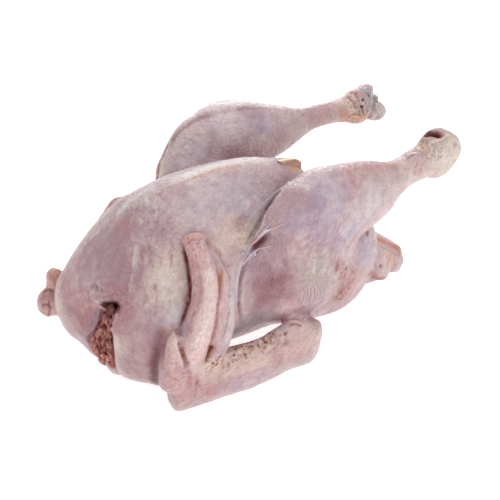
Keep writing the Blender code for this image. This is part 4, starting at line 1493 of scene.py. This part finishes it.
# %% Quill stubs
QUILL_LENGTH = 2.4            # mm
bm = bmesh.new()
for across, down, radius in QUILL_SOCKETS[::2]:
    for place in (spot(across, down), far_wing(spot(across, down))[0]):
        lean = outward(place) + np.array([draw.uniform(-0.5, 0.5), draw.uniform(-0.3, 0.3), 0.6])
        foot = on_skin(place, -1.2)[0]
        quill = np.array([foot + share * QUILL_LENGTH * MM * lean for share in (0, 0.5, 1)])
        add_strand(bm, quill, 0.55 * radius, 0.35 * radius)
quill_stubs = piece_of(bm, "quill_stubs")
stubs = Sheet(quill_stubs.data)
stubs.tint[:] = TAN
stubs.wash(RUST, np.clip(0.5 + stubs.grain(3 * MM), 0, 1))
stubs.colour_in()
dress(quill_stubs, gristle_finish)
print("quill stubs:", len(stubs.points), "points")

# %% Down and tag
DOWN_LENGTH, DOWN_THICK, DOWN_THIN = 4.5, 0.22, 0.10      # mm
DROOP = np.array([0, 0, -0.25])
TAG_MARKS = [((417, 153), 0.0), ((412, 155), 1.2), ((407, 158), 2.6)]        # picture spot, height in mm
DOWN_SPOTS = [
    (343, 124), (347, 125), (352, 124), (358, 123), (364, 122), (368, 121), (340, 97), (404, 165),
    (414, 180), (428, 182), (436, 180), (446, 174), (390, 277), (372, 278),
]
bm = bmesh.new()
for mark in DOWN_SPOTS:
    foot = on_skin(spot(*mark), -0.3)[0]
    lean = outward(foot) + np.array([draw.uniform(-0.8, 0.8), draw.uniform(-0.8, 0.8), -0.5])
    hair = np.array([foot + (lean * t + DROOP * t * t) * DOWN_LENGTH * MM for t in np.linspace(0, 1, 6)])
    add_strand(bm, hair, DOWN_THICK, DOWN_THIN)
tag = [on_skin(spot(*mark), height)[0] for mark, height in TAG_MARKS]
add_strand(bm, smooth_way(tag, 8), 1.3, 0.5)
skin_threads = piece_of(bm, "skin_threads")
threads = Sheet(skin_threads.data)
threads.tint[:] = CREAM
threads.colour_in()
dress(skin_threads, gristle_finish)
print("down and tag:", len(threads.points), "points")

# %% [markdown]
# ## Floor and light
# The bird was photographed on white with hardly a shadow, as on a light table: a white acrylic top
# that is also lit from below. The table and a white surround give the even fill, a broad lamp
# overhead models the muscles, and a lamp low behind the bird gives the bright edge that runs along
# the breast and the legs. A third, broad and weak, stands on the near side, so that the wing and the
# thigh keep their form.

# %% Floor
# White cast acrylic, lit from below: matt and even, so it throws no highlight of its own.
WHITE = (*linear("#ffffff"), 1.0)
GLOW = 0.70                  # light from under the table, as a share of full white
FLOOR_REACH = 40             # metres each way, so that its edge never shows
corners = [(x * FLOOR_REACH, y * FLOOR_REACH, 0) for x, y in ((-1, -1), (1, -1), (1, 1), (-1, 1))]
floor_mesh = bpy.data.meshes.new("floor")
floor_mesh.from_pydata(corners, [], [(0, 1, 2, 3)])
floor = new_object("floor", floor_mesh)
floor_material = empty_material("lit_white_acrylic")
card = add(floor_material.node_tree, "ShaderNodeBsdfPrincipled",
           {"Base Color": (*linear("#e4e4e4"), 1.0), "Roughness": 0.9, "Specular IOR Level": 0.1,
            "Emission Color": WHITE, "Emission Strength": GLOW}, {})
add(floor_material.node_tree, "ShaderNodeOutputMaterial", {}, {"Surface": card.outputs["BSDF"]})
floor_mesh.materials.append(floor_material)
print("floor glow:", GLOW)

# %% Light
WORLD_LIGHT = 0.52           # the white surround, as a share of full white
LAMPS = [                    # name, place, side in metres, watts
    ("overhead", (0.1, 0.15, 1.6), 1.0, 11),
    ("rim", (0.85, 1.25, 0.60), 0.8, 9),
    ("front", (0.05, -1.45, 0.70), 1.8, 7),
]
world = bpy.data.worlds.new("studio")
world.use_nodes = True
surround = world.node_tree.nodes["Background"]
surround.inputs["Color"].default_value = WHITE
surround.inputs["Strength"].default_value = WORLD_LIGHT
bpy.context.scene.world = world
bpy.context.scene.view_settings.view_transform = "Standard"


def soft_lamp(name, place, size, watts):
    lamp = bpy.data.lights.new(name, "AREA")
    lamp.size, lamp.energy = size, watts
    obj = bpy.data.objects.new(name, lamp)
    bpy.context.scene.collection.objects.link(obj)
    obj.location = place
    obj.rotation_mode = "QUATERNION"
    obj.rotation_quaternion = (LOOKED_AT - Vector(place)).to_track_quat("-Z", "Y")


for lamp in LAMPS:
    soft_lamp(*lamp)
print("lamps:", len(LAMPS))
